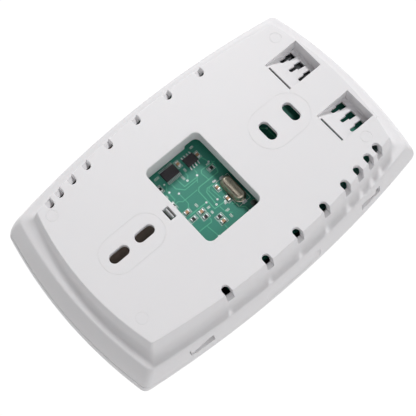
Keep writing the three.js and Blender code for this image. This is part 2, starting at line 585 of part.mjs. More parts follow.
KEY_NAMES.forEach((name, i) => {
  add(`key_${name}`, keyCap(), FINISH.key, [KEY_X[i], 0, KEY_Z]);
  add(`switch_${name}`, switchBody(), FINISH.chip, [KEY_X[i], 0, KEY_Z]);
  add(`switch_stem_${name}`, post(0, 0, SWITCH.stemR, switchFace - 0.7, switchTip, 12), FINISH.terminal,
    [KEY_X[i], 0, KEY_Z]);
});

// ---- batteries, their contacts and their door --------------------------------------------------------

// an AA cell along Z, its raised pole towards +Z when up is 1
function cell(up) {
  const half = CELL.length / 2;
  const profile = [[0, -half], [CELL.r - 0.6, -half], [CELL.r, -half + 0.6], [CELL.r, half - 0.8],
    [CELL.r - 0.8, half], [CELL.nubR, half], [CELL.nubR, half + CELL.nub], [0, half + CELL.nub]];
  const geometry = new THREE.LatheGeometry(profile.map(([x, y]) => new THREE.Vector2(x, y)), 20);
  return solid(geometry.rotateX(up * Math.PI / 2));
}

class ConeSpring extends THREE.Curve {
  getPoint(t, target = new THREE.Vector3()) {
    const turn = t * SPRING.turns * 2 * Math.PI;
    const radius = SPRING.wide + (SPRING.narrow - SPRING.wide) * t;
    return target.set(radius * Math.cos(turn), radius * Math.sin(turn), SPRING.height * t);
  }
}

// a conical spring on the end plate at zEnd, its small end towards the middle of the bay
function spring(x, side) {
  const wire = new THREE.Shape().absarc(0, 0, SPRING.wire, 0, 2 * Math.PI);
  const geometry = new THREE.ExtrudeGeometry(wire, { steps: 30, curveSegments: 3, extrudePath: new ConeSpring() });
  if (side > 0) geometry.rotateX(Math.PI);
  return solid(geometry.translate(x, -CELL.depth, side * (BAY.z - 0.3 - SPRING.wire - 0.45)));
}

// a contact plate across the end of the bay; side is 1 at the top
function contactPlate(x0, x1, side) {
  const near = side * (BAY.z - 0.1);
  const far = side * (BAY.z - 0.5);
  return box(x0, x1, -CELL.depth - 5, -CELL.depth + 5, Math.min(near, far), Math.max(near, far));
}

function batteryDoor() {
  const { x0, hingeX, hingeDepth, barrelR, z, pinR, pin } = DOOR;
  const leaf = plate(roundedRect(x0, hingeX, -z, z, 0.5), DEPTH - WALL, DEPTH);
  const barrel = new THREE.CylinderGeometry(barrelR, barrelR, 2 * z, 16);
  const pins = new THREE.CylinderGeometry(pinR, pinR, 2 * (z + pin), 12);
  const round = join([solid(barrel.rotateX(Math.PI / 2)), solid(pins.rotateX(Math.PI / 2))]);
  return leaf.translate(-hingeX, hingeDepth, 0).add(round);
}

const [leftCell, rightCell] = CELL.x;
const midX = (leftCell + rightCell) / 2;
add('battery_1', cell(1), FINISH.cell, [leftCell, -CELL.depth, 0]);
add('battery_2', cell(-1), FINISH.cell, [rightCell, -CELL.depth, 0]);
add('battery_link', contactPlate(leftCell - 5.5, rightCell + 5.5, 1), FINISH.nickel);
add('battery_contact_1', contactPlate(leftCell - 5.5, midX - 1.2, -1), FINISH.nickel);
add('battery_contact_2', contactPlate(midX + 1.2, rightCell + 5.5, -1), FINISH.nickel);
add('battery_door', batteryDoor(), FINISH.shell, [DOOR.hingeX, -DOOR.hingeDepth, 0]);
add('battery_spring_1', spring(leftCell, -1), FINISH.steel);
add('battery_spring_2', spring(rightCell, 1), FINISH.steel);

export default thermostat;
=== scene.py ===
# Wall thermostat seen from its wall side: white moulded case, a wire opening that shows the circuit board,
# screw slots, terminal pockets and vents. Shapes are drawn in millimetres and scaled to metres when finished.
# The wall plane is y = 0, the front faces -Y and +Z is up; a depth is a distance from the wall.
import bpy, bmesh, json, math
from mathutils import Matrix, Vector


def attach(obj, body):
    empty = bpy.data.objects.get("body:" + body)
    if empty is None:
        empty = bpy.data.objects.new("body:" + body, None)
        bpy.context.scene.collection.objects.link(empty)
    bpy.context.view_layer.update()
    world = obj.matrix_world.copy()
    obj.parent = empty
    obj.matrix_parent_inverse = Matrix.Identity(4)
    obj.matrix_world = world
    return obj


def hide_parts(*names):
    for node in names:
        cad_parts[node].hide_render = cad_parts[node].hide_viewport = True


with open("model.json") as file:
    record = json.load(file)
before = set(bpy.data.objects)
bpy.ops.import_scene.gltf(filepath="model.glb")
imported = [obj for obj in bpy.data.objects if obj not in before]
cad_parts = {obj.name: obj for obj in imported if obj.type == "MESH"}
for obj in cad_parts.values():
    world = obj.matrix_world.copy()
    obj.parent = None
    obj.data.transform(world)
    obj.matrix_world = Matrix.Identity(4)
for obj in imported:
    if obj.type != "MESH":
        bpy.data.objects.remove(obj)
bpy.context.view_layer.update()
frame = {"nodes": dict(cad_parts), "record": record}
NODES = frame["nodes"]
MM = 0.001

# ---- the case, in millimetres ----

FACE_X, FACE_Z, BOW_X, BOW_Z = 57.8, 32.0, 4.3, 5.5   # the raised face: half sizes at the corners, and the bows
SEAM, DEPTH, WALL, GAP = 18.0, 28.0, 2.0, 0.3
SIDE_STEPS, CORNER_STEPS = 36, 7

# [depth, growth in x, growth in z, corner cut]
RAISED_FACE_ROUNDING = [[0, -0.45, -0.45, 0.6], [0.03, -0.3, -0.3, 0.65], [0.1, -0.16, -0.16, 0.7],
                        [0.22, -0.07, -0.07, 0.75], [0.42, 0.0, 0.0, 0.8]]
STEP_AND_FLANGE = [[2.2, 0.5, 0.45, 0.9], [4.2, 1.05, 0.95, 1.1], [5.4, 1.5, 1.35, 1.2], [6.2, 2.0, 1.8, 1.3],
                   [6.75, 2.6, 2.35, 1.4], [7.15, 3.2, 2.85, 1.5], [7.42, 3.8, 3.35, 1.6],
                   [7.6, 4.4, 3.9, 1.7],
                   [7.74, 5.0, 4.45, 1.8], [7.85, 5.45, 4.85, 1.9], [8.0, 5.75, 5.12, 1.95],
                   [8.3, 6.0, 5.33, 2.0],
                   [8.8, 6.35, 5.55, 2.0]]
BACK_WALL = [[10.1, 7.05, 6.05, 2.0], [12.0, 8.1, 6.55, 2.0], [14.0, 9.05, 6.98, 2.0],
             [16.0, 9.95, 7.32, 2.0],
             [17.6, 10.55, 7.54, 2.0], [17.85, 10.55, 7.5, 2.0], [SEAM, 10.4, 7.35, 2.0]]
BACK_INSIDE = [[SEAM, 8.5, 5.65, 2.6], [12.2, 5.4, 4.3, 2.2], [9.8, 4.0, 3.4, 2.0], [9.6, 0.4, 0.1, 1.4],
               [WALL, -1.8, -1.8, 1.0]]
FRONT_OUTSIDE = [[DEPTH, 4.1, 1.8, 3.0], [27.96, 4.9, 2.5, 3.0], [27.7, 6.2, 3.6, 3.2], [27.2, 7.5, 4.5, 3.4],
                 [26.3, 8.9, 5.6, 3.4], [25.0, 10.2, 6.6, 2.8], [23.6, 11.05, 7.25, 2.5],
                 [22.0, 11.45, 7.65, 2.2],
                 [20.5, 11.45, 7.65, 2.2], [18.75, 10.9, 7.6, 2.0], [18.45, 10.8, 7.5, 2.0],
                 [18.3, 10.6, 7.35, 2.0]]
FRONT_INSIDE = [[18.3, 8.5, 5.6, 3.0], [22.5, 9.1, 5.7, 3.0], [24.8, 8.0, 4.9, 3.0],
                [DEPTH - WALL, 5.2, 2.8, 2.6]]

WIRE_OPENING = (-6.3, 19.1, -18.3, 17.9, 2.5)          # x0, x1, z0, z1, corner radius
CRYSTAL = (-3.6, -6.0, 2.25, 5.6)                      # x, z, half width, half length
SMALL_HOLE = (21.0, 23.7, -2.6, 2.4, 0.25)
SIDE_WALL = FACE_Z + BOW_Z + 7.0                       # the bottom wall's reach at the recess
SCOOP = (0.9, 14.0, 6.0, 1.2, 27.2)                    # x, depth, radius, bite, length
SCOOP_END = (-10.6, 13.2, 2.0, 1.9)                    # x, depth, radius, bite
SLOTS = [(33.9, 8.2, 4.0), (45.6, 8.2, 4.0), (-26.1, 4.0, 8.2), (-37.9, 4.0, 8.2)]
VENT_R, VENT_INSET, VENT_RUN, VENT_DEPTH = 1.5, 2.0, 1.5, 5.0
TOP_VENTS = [52.1, 47.0, 40.4, 32.9, 21.6, 7.6, -7.8, -23.1]
BOTTOM_VENTS = [26.1, 7.8, -7.0, -20.9, -32.4, -39.8, -46.0, -51.3]
POCKETS = [(6.8, 20.6, (18.6, 13.5, 8.4)), (-21.4, -7.7, (-9.5, -14.6, -19.7))]
POCKET_INNER, POCKET_SLIT, POCKET_SHALLOW, POCKET_DEEP, POCKET_DEEP_FROM = -43.7, 1.1, 0.9, 6.1, -58.6
LATCH_X, LATCH_SLOT, LATCH_DEPTH = (43.5, -40.7), (10.4, 3.8), 13.2
BOARD_BACK = 10.5
BOARD_SCREWS = [(-55.8, 29.2), (-55.8, -29.2), (18.8, 30.5), (18.8, -30.5)]
DISPLAY = (-60.0, 15.0, -14.5, 24.5)
KEY_Z, KEY_X, KEY_SIZE = -24.0, {"power": -47.5, "mode": -35.0, "down": -22.5, "up": -10.0,
                                 "program": 2.5}, (9.0, 5.4)
BAY = (29.4, 60.6, 27.6)
DOOR_X0, HINGE_X, HINGE_DEPTH, DOOR_Z = 26.9, 61.5, 26.6, 29.0
CELLS = {"battery_1": (37.4, 1), "battery_2": (52.4, -1)}
CELL_DEPTH, CELL_R, CELL_HALF = 18.6, 7.1, 24.3

# ---- colour and shader helpers ----


def linear(code, alpha=1.0):
    """An sRGB hex colour as the linear colour that shaders take."""
    parts = [int(code[i:i + 2], 16) / 255 for i in (1, 3, 5)]
    return [p / 12.92 if p <= 0.04045 else ((p + 0.055) / 1.055) ** 2.4 for p in parts] + [alpha]


def add_node(tree, kind, settings=None, links=None):
    """A shader node with its settings, which are node properties or socket values, and its incoming links."""
    made = tree.nodes.new(kind)
    for key, value in (settings or {}).items():
        if isinstance(key, str) and hasattr(made, key):
            setattr(made, key, value)
        else:
            made.inputs[key].default_value = value
    for key, source in (links or {}).items():
        tree.links.new(source, made.inputs[key])
    return made


def principled(name, settings):
    """A material with one Principled shader, and its tree."""
    material = bpy.data.materials.new(name)
    material.use_nodes = True
    tree = material.node_tree
    tree.nodes.clear()
    shader = add_node(tree, "ShaderNodeBsdfPrincipled", settings)
    add_node(tree, "ShaderNodeOutputMaterial", links={"Surface": shader.outputs[0]})
    return material, tree, shader


def surface(name, tones, roughness, grain_mm, bump_mm, metallic=0.0, stretch=(1, 1, 1), cloud_mm=30.0,
            **more):
    """A finish with two close tones in soft clouds, gloss that wanders between two values, and a fine grain."""
    material, tree, shader = principled(name, {"Metallic": metallic, **more})
    place = add_node(tree, "ShaderNodeTexCoord").outputs["Object"]
    sized = add_node(tree, "ShaderNodeMapping", {"Scale": stretch}, {"Vector": place}).outputs[0]
    cloud = add_node(tree, "ShaderNodeTexNoise", {"Scale": 1000 / cloud_mm, "Detail": 3.0}, {"Vector": sized})
    grain = add_node(tree, "ShaderNodeTexNoise", {"Scale": 1000 / grain_mm, "Detail": 2.0}, {"Vector": sized})
    tone = add_node(tree, "ShaderNodeMix", {"data_type": "RGBA", 6: linear(tones[0]), 7: linear(tones[1])},
                    {0: cloud.outputs["Fac"]})
    gloss = add_node(tree, "ShaderNodeMapRange", {"From Min": 0.3, "From Max": 0.7, "To Min": roughness[0],
                                                  "To Max": roughness[1]}, {"Value": grain.outputs["Fac"]})
    bump = add_node(tree, "ShaderNodeBump", {"Strength": 1.0, "Distance": bump_mm * MM},
                    {"Height": grain.outputs["Fac"]})
    tree.links.new(tone.outputs[2], shader.inputs["Base Color"])
    tree.links.new(gloss.outputs[0], shader.inputs["Roughness"])
    tree.links.new(bump.outputs[0], shader.inputs["Normal"])
    return material, tree, shader, bump, place, tone


def soften_edges(tree, bump, radius_mm):
    """Moulded edges that the light rounds off."""
    rounded = add_node(tree, "ShaderNodeBevel", {"samples": 4, "Radius": radius_mm * MM})
    tree.links.new(rounded.outputs[0], bump.inputs["Normal"])


def shell_plastic():
    # White ABS with a fine spark-eroded texture: a soft broad sheen, a hair of warmth in its shaded folds.
    material, tree, shader, bump, *_ = surface("abs_white_fine_texture", ("#e8e6e8", "#e5e4e6"),
                                                        (0.42, 0.54), 0.45, 0.006, cloud_mm=60.0)
    soften_edges(tree, bump, 0.18)
    shader.inputs["Subsurface Weight"].default_value = 0.06
    shader.inputs["Subsurface Radius"].default_value = (1.2 * MM, 0.9 * MM, 0.8 * MM)
    return material


def board_mask():
    # Green solder mask over glass weave: glossy lacquer, with the cloth just showing as a fine crossed ripple.
    material, tree, shader, bump, place, tone = surface("solder_mask_green", ("#39907c", "#328875"),
                                                        (0.28, 0.4), 0.3, 0.004, cloud_mm=12.0)
    weave_x = add_node(tree, "ShaderNodeTexWave", {"bands_direction": "X", "Scale": 1000 / 2.4},
                       {"Vector": place})
    weave_z = add_node(tree, "ShaderNodeTexWave", {"bands_direction": "Z", "Scale": 1000 / 2.4},
                       {"Vector": place})
    cloth = add_node(tree, "ShaderNodeMath", {"operation": "MULTIPLY"},
                     {0: weave_x.outputs["Fac"], 1: weave_z.outputs["Fac"]})
    ripple = add_node(tree, "ShaderNodeBump", {"Distance": 0.006 * MM},
                      {"Height": cloth.outputs[0], "Normal": bump.outputs[0]})
    lift = add_node(tree, "ShaderNodeMapRange", {"To Min": 0.94, "To Max": 1.06}, {"Value": cloth.outputs[0]})
    woven = add_node(tree, "ShaderNodeHueSaturation", {},
                     {"Color": tone.outputs[2], "Value": lift.outputs[0]})
    tree.links.new(woven.outputs[0], shader.inputs["Base Color"])
    tree.links.new(ripple.outputs[0], shader.inputs["Normal"])
    shader.inputs["Coat Weight"].default_value = 0.4
    shader.inputs["Coat Roughness"].default_value = 0.15
    return material


def cell_sleeve():
    # Shrunk printed sleeve on an AA cell: two colour bands with a thin bright ring between, under clear gloss.
    material, tree, shader, _, place, _ = surface("cell_sleeve_gloss", ("#3a5f8a", "#355a85"), (0.18, 0.3),
                                                        0.8, 0.004, cloud_mm=20.0)
    axis = add_node(tree, "ShaderNodeSeparateXYZ", links={0: place})
    band = add_node(tree, "ShaderNodeValToRGB", links={"Fac": add_node(
        tree, "ShaderNodeMapRange", {"From Min": -CELL_HALF * MM, "From Max": CELL_HALF * MM},
        {"Value": axis.outputs["Z"]}).outputs[0]})
    band.color_ramp.interpolation = "CONSTANT"
    stops = band.color_ramp.elements
    stops[0].color, stops[1].position, stops[1].color = linear("#2f5f96"), 0.68, linear("#d9dce0")
    stops.new(0.72).color = linear("#8fa6be")
    tree.links.new(band.outputs[0], shader.inputs["Base Color"])
    shader.inputs["Coat Weight"].default_value = 0.5
    return material


def simple(*settings, edge_mm=0.0, **more):
    material, tree, _, bump, *_ = surface(*settings, **more)
    if edge_mm:
        soften_edges(tree, bump, edge_mm)
    return material


SHELL = shell_plastic()
MASK = board_mask()
SLEEVE = cell_sleeve()
# Painted shade on the hidden back of the battery bay: a dead matt warm grey that stands in for the shade deep
# inside the case, so it reads dark through the slots.
BAY_PAINTED_SHADE = simple("primer_warm_grey_matt", ("#b3a096", "#a8968d"), (0.8, 0.95), 0.3, 0.01, cloud_mm=6.0)
# Pale grey key caps, a touch glossier than the case, so a finger-polished sheen runs over their domes.
KEY = simple("abs_grey_satin", ("#c9ccd0", "#c4c8cc"), (0.34, 0.44), 0.5, 0.004)
# Pad-printed ink on the keys: a thin flat film, a little duller than the cap round it.
ICON = simple("pad_print_dark", ("#4a4e55", "#454950"), (0.5, 0.62), 0.3, 0.002)
# Cast acrylic window: clear and glossy, so it mirrors the studio faintly over the glass.
WINDOW = simple("acrylic_clear_gloss", ("#f4f7f7", "#f1f5f5"), (0.03, 0.07), 4.0, 0.001, **{
    "Transmission Weight": 1.0, "IOR": 1.49})
# Ink printed on the window's inner side: near black, seen through the window's own gloss.
BORDER = simple("window_print_black", ("#15181b", "#191c20"), (0.3, 0.4), 0.6, 0.002)
# Reflective liquid crystal cell: grey-green glass with a calm, slightly milky gloss.
GLASS = simple("lcd_glass_grey_green", ("#95a28c", "#909d87"), (0.12, 0.2), 2.0, 0.001, cloud_mm=50.0)
# Switched liquid crystal: dark green-grey figures that sit just in front of the glass.
DIGIT = simple("lcd_segment_dark", ("#2c322c", "#2f3530"), (0.3, 0.4), 1.0, 0.001)
# Milky acrylic light guide: an even, soft white behind the cell.
DIFFUSER = simple("acrylic_milky", ("#eef0ea", "#e9ece6"), (0.35, 0.45), 1.0, 0.003)
# Moulded ABS trays and stems: ivory, satin, less bright than the outer case.
TRAY = simple("abs_ivory_satin", ("#d9dad6", "#d3d5d1"), (0.44, 0.56), 0.5, 0.006, edge_mm=0.15)
# Conductive rubber strip: soft black with the faint striping of its thin layers along the length.
RUBBER = simple("zebra_rubber_matt", ("#2b2b2d", "#3d3d40"), (0.75, 0.9), 0.6, 0.01, stretch=(6, 1, 1),
                cloud_mm=3.0)
# Copper under the mask: the same lacquer, raised and paler where metal lies below it.
TRACE = simple("copper_under_mask", ("#63bd9c", "#5ab493"), (0.25, 0.36), 0.4, 0.003, cloud_mm=10.0)
# Screen-printed legend ink: chalky white, matt beside the glossy mask.
SILK = simple("legend_ink_white", ("#f1f5f1", "#e6ece7"), (0.55, 0.7), 0.25, 0.004)
# Hot-air-levelled solder: bright tin with a slightly lumpy, liquid gloss.
TIN = simple("solder_tin_bright", ("#f4f5f6", "#e4e6e8"), (0.3, 0.48), 0.35, 0.015, metallic=0.65,
             cloud_mm=1.0)
# Transfer-moulded chip epoxy: charcoal with the fine dull tooth of its mould.
EPOXY = simple("chip_epoxy_matt", ("#3a3539", "#343034"), (0.5, 0.64), 0.12, 0.004, cloud_mm=3.0)
# Drawn nickel can: satin metal with light drawing lines along its length, with a warm tint in its colour as a
# painted reflection of the board.
NICKEL = simple("nickel_can_drawn", ("#d6ccb9", "#bfb5a4"), (0.24, 0.38), 0.22, 0.004, metallic=1.0,
                stretch=(1, 1, 0.15),
                cloud_mm=4.0)
# Nickel-plated strip: smooth bright metal with soft punched edges.
PLATE = simple("nickel_strip_bright", ("#c7c4bc", "#bab7b0"), (0.2, 0.34), 0.4, 0.004, metallic=1.0,
               edge_mm=0.1)
# Fired capacitor ceramic: warm tan, slightly grainy, with a low sheen.
CERAMIC = simple("capacitor_ceramic_tan", ("#bf9573", "#b08765"), (0.4, 0.55), 0.2, 0.004, cloud_mm=1.5)
# Glazed resistor body: dark glass film, shinier than the chips.
RESIST = simple("resistor_glaze_black", ("#2c2a2c", "#353234"), (0.25, 0.35), 0.3, 0.003, cloud_mm=2.0)
# Moulded PBT relay cover: plain blue with a moulded satin and rounded edges.
RELAY = simple("relay_pbt_blue", ("#2f4f7d", "#2b4a76"), (0.35, 0.46), 0.4, 0.005, edge_mm=0.3)
# Drawn aluminium capacitor can: pale satin metal with a turned-over rim.
CAN = simple("aluminium_can_satin", ("#c3c6ca", "#b6babf"), (0.26, 0.4), 0.3, 0.004, metallic=1.0,
             edge_mm=0.3)
# Moulded polyamide terminal block: charcoal, with a faint mottled texture.
TERMINAL = simple("polyamide_charcoal", ("#45474b", "#3d3f43"), (0.42, 0.56), 0.35, 0.008, edge_mm=0.15)
# Bright zinc plating on steel: blue-grey metal whose gloss varies in small patches.
STEEL = simple("zinc_plated_steel", ("#c2c4c6", "#aeb1b5"), (0.24, 0.42), 0.35, 0.006, metallic=1.0,
               cloud_mm=2.0,
               edge_mm=0.08)
# Nickelled brass cage: straw-tinted metal, softly worn at its edges.
BRASS = simple("nickelled_brass", ("#c9b36e", "#bba45f"), (0.26, 0.4), 0.3, 0.005, metallic=1.0, edge_mm=0.1)
# Dipped thermistor epoxy: a small black bead with a wet gloss.
BEAD = simple("thermistor_epoxy", ("#262628", "#1d1d1f"), (0.2, 0.3), 0.6, 0.004)
BY_SLOT = {"shell_white": SHELL, "key_grey": KEY, "window_dark": BORDER, "lcd_glass": GLASS,
           "diffuser_white": DIFFUSER, "frame_white": TRAY, "rubber_strip": RUBBER, "board_green": MASK,
           "chip_black": EPOXY, "nickel_can": NICKEL, "nickel_plate": PLATE, "ceramic_chip": CERAMIC,
           "relay_blue": RELAY, "capacitor_can": CAN, "terminal_grey": TERMINAL, "zinc_steel": STEEL,
           "brass_cage": BRASS, "sensor_bead": BEAD, "cell_wrap": SLEEVE}
BODY_OF = {node: body for body, rows in frame["record"]["behaviour"]["bodies"].items() for node in rows}
SLOT_OF = {row["node"]: row["material_slot"] for row in frame["record"]["subparts"]}
for node_name, slot_name in SLOT_OF.items():
    NODES[node_name].data.materials.clear()
    NODES[node_name].data.materials.append(BY_SLOT[slot_name])

# ---- shape helpers: everything is drawn in x and z and stacked by depth ----


def case_path(grow_x, grow_z, corner):
    """The case outline: four bowed sides joined by soft corners."""
    half = (FACE_X + grow_x, FACE_Z + grow_z)
    corners = [Vector((a * half[0], b * half[1])) for a, b in ((1, 1), (-1, 1), (-1, -1), (1, -1))]
    bows = [Vector(b) for b in ((0, BOW_Z), (-BOW_X, 0), (0, -BOW_Z), (BOW_X, 0))]
    trims = [corner / (2 * half[0]), corner / (2 * half[1])] * 2

    def on_side(i, t):
        return corners[i].lerp(corners[(i + 1) % 4], t) + bows[i] * 4 * t * (1 - t)

    path = []
    for i in range(4):
        after = (i + 1) % 4
        path += [on_side(i, trims[i] + (1 - 2 * trims[i]) * k / SIDE_STEPS) for k in range(SIDE_STEPS + 1)]
        start, end = path[-1], on_side(after, trims[after])
        for k in range(1, CORNER_STEPS):
            t = k / CORNER_STEPS
            path.append(start * (1 - t) ** 2 + corners[after] * 2 * t * (1 - t) + end * t * t)
    return path


def rect_path(x0, x1, z0, z1, r, grow=0.0, steps=6):
    """A rounded rectangle, grown all round."""
    x0, x1, z0, z1, r = x0 - grow, x1 + grow, z0 - grow, z1 + grow, max(r + grow, 0.02)
    centres = ((x1 - r, z1 - r, 0), (x0 + r, z1 - r, 90), (x0 + r, z0 + r, 180), (x1 - r, z0 + r, 270))
    return [Vector((cx + r * math.cos(math.radians(a + 90 * k / steps)),
                    cz + r * math.sin(math.radians(a + 90 * k / steps))))
            for cx, cz, a in centres for k in range(steps + 1)]


def round_path(x, z, r, steps=32):
    return [Vector((x + r * math.cos(2 * math.pi * k / steps), z + r * math.sin(2 * math.pi * k / steps)))
            for k in range(steps)]


def ring(bm, depth, path):
    """A closed loop of edges along the path at one depth."""
    verts = bmesh.ops.create_circle(bm, segments=len(path), radius=1)["verts"]
    for vert, at in zip(verts, path):
        vert.co = (at.x, -depth, at.y)
    return verts


def loop_edges(verts):
    members = set(verts)
    return list({e for v in verts for e in v.link_edges if e.verts[0] in members and e.verts[1] in members})


def stack(bm, rows):
    """A closed body through loops of the same count, given as (depth, path), from the first row to the last."""
    rings = [ring(bm, depth, path) for depth, path in rows]
    edges = [loop_edges(r) for r in rings]
    for a, b in zip(edges, edges[1:]):
        bmesh.ops.bridge_loops(bm, edges=a + b)
    for end in (edges[0], edges[-1]):
        bmesh.ops.contextual_create(bm, geom=end)
    faces = list({f for r in rings for v in r for f in v.link_faces})
    bmesh.ops.recalc_face_normals(bm, faces=faces)
    return [v for r in rings for v in r]


def bridged_rings(bm, rows):
    """A closed body round four outlines, paired up as the bridge operator finds them."""
    rings = [ring(bm, d, p) for d, p in rows]
    edges = [loop_edges(r) for r in rings]
    for i in range(4):
        bmesh.ops.bridge_loops(bm, edges=edges[i] + edges[(i + 1) % 4])
    bmesh.ops.recalc_face_normals(bm, faces=list({f for r in rings for v in r for f in v.link_faces}))


def band(bm, rows):
    """A closed band through outlines with the same number of points, joined point by point."""
    first = previous = ring(bm, *rows[0])
    made = list(first)
    for depth, path in rows[1:] + rows[:1]:
        grown = bmesh.ops.extrude_edge_only(bm, edges=loop_edges(previous))["geom"]
        fresh = {v for v in grown if isinstance(v, bmesh.types.BMVert)}
        following = [next(e.other_vert(v) for e in v.link_edges if e.other_vert(v) in fresh) for v in previous]
        for vert, point in zip(following, path):
            vert.co = (point[0], -depth, point[1])
        made += following
        previous = following
    faces = list({f for v in made for f in v.link_faces})
    bmesh.ops.weld_verts(bm, targetmap=dict(zip(previous, first)))
    bmesh.ops.recalc_face_normals(bm, faces=[f for f in faces if f.is_valid])
    return made[:-len(first)]


def rounded_block(bm, path_of, d0, d1, r, steps=3, ends=(True, True)):
    """A flat body between two depths with rounded rims; path_of(grow) gives its outline."""
    arc = [(r * (1 - math.sin(math.radians(90 * k / steps))),
            r * (1 - math.cos(math.radians(90 * k / steps))))
           for k in range(steps + 1)]
    top = [(d0 + down, path_of(-inset)) for inset, down in arc] if ends[0] else [(d0, path_of(0))]
    bottom = [(d1 - down, path_of(-inset)) for inset,
              down in reversed(arc)] if ends[1] else [(d1, path_of(0))]
    return stack(bm, top + bottom)


def mouth(bm, path_of, depth, r=0.3, top=0.0, steps=4):
    """A cutter for an opening with a rounded lip at the depth called top, straight down to the given depth."""
    rows = [(top - 1.0, path_of(r))]
    for k in range(steps + 1):
        a = math.radians(90 * k / steps)
        rows.append((top + r * (1 - math.cos(a)), path_of(r * (1 - math.sin(a)))))
    return stack(bm, rows + [(depth, path_of(0))])


def block(bm, x0, x1, d0, d1, z0, z1):
    """A box between two depths."""
    made = bmesh.ops.create_cube(bm, size=1)["verts"]
    bmesh.ops.scale(bm, vec=(x1 - x0, d1 - d0, z1 - z0), verts=made)
    bmesh.ops.translate(bm, vec=((x0 + x1) / 2, -(d0 + d1) / 2, (z0 + z1) / 2), verts=made)
    return made


def rod(bm, axis, centre, r, length, sides=32):
    """A round rod along an axis; the centre is (x, depth, z)."""
    turn = Vector((0, 0, 1)).rotation_difference(Vector(axis)).to_matrix().to_4x4()
    place = Matrix.Translation((centre[0], -centre[1], centre[2])) @ turn
    return bmesh.ops.create_cone(bm, cap_ends=True, segments=sides, radius1=r, radius2=r, depth=length,
                                 matrix=place)["verts"]


def mesh_object(bm, name):
    mesh = bpy.data.meshes.new(name)
    bmesh.ops.scale(bm, vec=(MM, MM, MM), verts=bm.verts)
    bm.to_mesh(mesh)
    bm.free()
    made = bpy.data.objects.new(name, mesh)
    bpy.context.scene.collection.objects.link(made)
    return made


def carve(target, operation, draw):
    """Adds or cuts the bodies that draw(bm) makes; they must not cross each other."""
    bm = bmesh.new()
    draw(bm)
    tool = mesh_object(bm, "tool")
    change = target.modifiers.new("carve", "BOOLEAN")
    change.operation, change.solver, change.object = operation, "MANIFOLD", tool
    apply_modifiers(target)
    bpy.data.objects.remove(tool)


def apply_modifiers(target):
    graph = bpy.context.evaluated_depsgraph_get()
    graph.update()
    done = bpy.data.meshes.new_from_object(target.evaluated_get(graph))
    target.modifiers.clear()
    target.data = done


def finish_piece(made, materials, body, nodes=(), angle=32.0):
    """Smooth shading with crisp edges, materials, and the place of the piece in the frame."""
    mesh = made.data
    shares = [face.material_index for face in mesh.polygons]
    mesh.materials.clear()
    for material in materials:
        mesh.materials.append(material)
    mesh.polygons.foreach_set("material_index", shares)
    mesh.shade_smooth()
    bm = bmesh.new()
    bm.from_mesh(mesh)
    bmesh.ops.remove_doubles(bm, verts=bm.verts, dist=1e-7)
    bmesh.ops.dissolve_degenerate(bm, edges=bm.edges, dist=1e-7)
    for edge in bm.edges:
        edge.smooth = len(edge.link_faces) != 2 or edge.calc_face_angle(0) < math.radians(angle)
    bm.to_mesh(mesh)
    bm.free()
    weighted = made.modifiers.new("even_normals", "WEIGHTED_NORMAL")
    weighted.keep_sharp, weighted.weight = True, 50
    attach(made, body)
    if nodes:
        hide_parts(*nodes)
    return made


def new_piece(name, draw, materials, body, nodes=(), angle=32.0):
    bm = bmesh.new()
    draw(bm)
    return finish_piece(mesh_object(bm, name), materials, body, nodes, angle)


def softened(node, width_mm, name=None, segments=2):
    """The node's own shape with its hard edges rounded."""
    source = NODES[node]
    bm = bmesh.new()
    bm.from_mesh(source.data)
    bmesh.ops.remove_doubles(bm, verts=bm.verts, dist=1e-6)
    bmesh.ops.dissolve_limit(bm, angle_limit=math.radians(1), verts=bm.verts, edges=bm.edges)
    hard = [e for e in bm.edges if len(e.link_faces) == 2 and e.calc_face_angle(0) > math.radians(40)]
    bmesh.ops.bevel(bm, geom=hard, offset=width_mm * MM, segments=segments, profile=0.5, affect="EDGES",
                    material=-1, clamp_overlap=True)
    bmesh.ops.scale(bm, vec=(1 / MM,) * 3, verts=bm.verts)
    made = mesh_object(bm, name or node + "_soft")
    return finish_piece(made, [BY_SLOT[SLOT_OF[node]]], BODY_OF[node], [node])


# ---- back shell ----


def edge_z(x):
    return FACE_Z + BOW_Z * (1 - (x / FACE_X) ** 2)


def vent_path(x, side, grow):
    """A vent outline: a round head in the raised face, running out through its edge."""
    head, foot, r = edge_z(x) - VENT_INSET, edge_z(x) + VENT_RUN + grow, VENT_R + grow
    arc = [Vector((x + r * math.cos(math.radians(a)), side * (head - r * math.sin(math.radians(a)))))
           for a in range(0, 181, 15)]
    return arc + [Vector((x - r, side * foot)), Vector((x + r, side * foot))]


def draw_vents(bm):
    for side, places in ((1, TOP_VENTS), (-1, BOTTOM_VENTS)):
        for x in places:
            mouth(bm, lambda grow, x=x, side=side: vent_path(x, side, grow), VENT_DEPTH, 0.3)


def draw_openings(bm):
    mouth(bm, lambda grow: rect_path(*WIRE_OPENING, grow, 8), 12.0, 0.4)
    mouth(bm, lambda grow: rect_path(*SMALL_HOLE, grow, 3), 4.0, 0.15)
    for x, width, height in SLOTS:
        mouth(bm, lambda grow, at=(x - width / 2, x + width / 2, -height / 2, height / 2):
              rect_path(*at, 1.99, grow, 10), 4.0, 0.3)
    for x in LATCH_X:
        block(bm, x - LATCH_SLOT[0] / 2, x + LATCH_SLOT[0] / 2, LATCH_DEPTH - LATCH_SLOT[1] / 2,
              LATCH_DEPTH + LATCH_SLOT[1] / 2, -50, -36)


def draw_skirts(bm):
    """The rims that stand inward round the wire opening, all at one depth; the deeper part along the top is a
    separate block added in back_shell.
    """
    x0, x1, z0, z1, r = WIRE_OPENING
    stack(bm, [(1.0, rect_path(x0, x1, z0, z1, r, 1.5, 8)), (6.2, rect_path(x0, x1, z0, z1, r, 1.5, 8))])


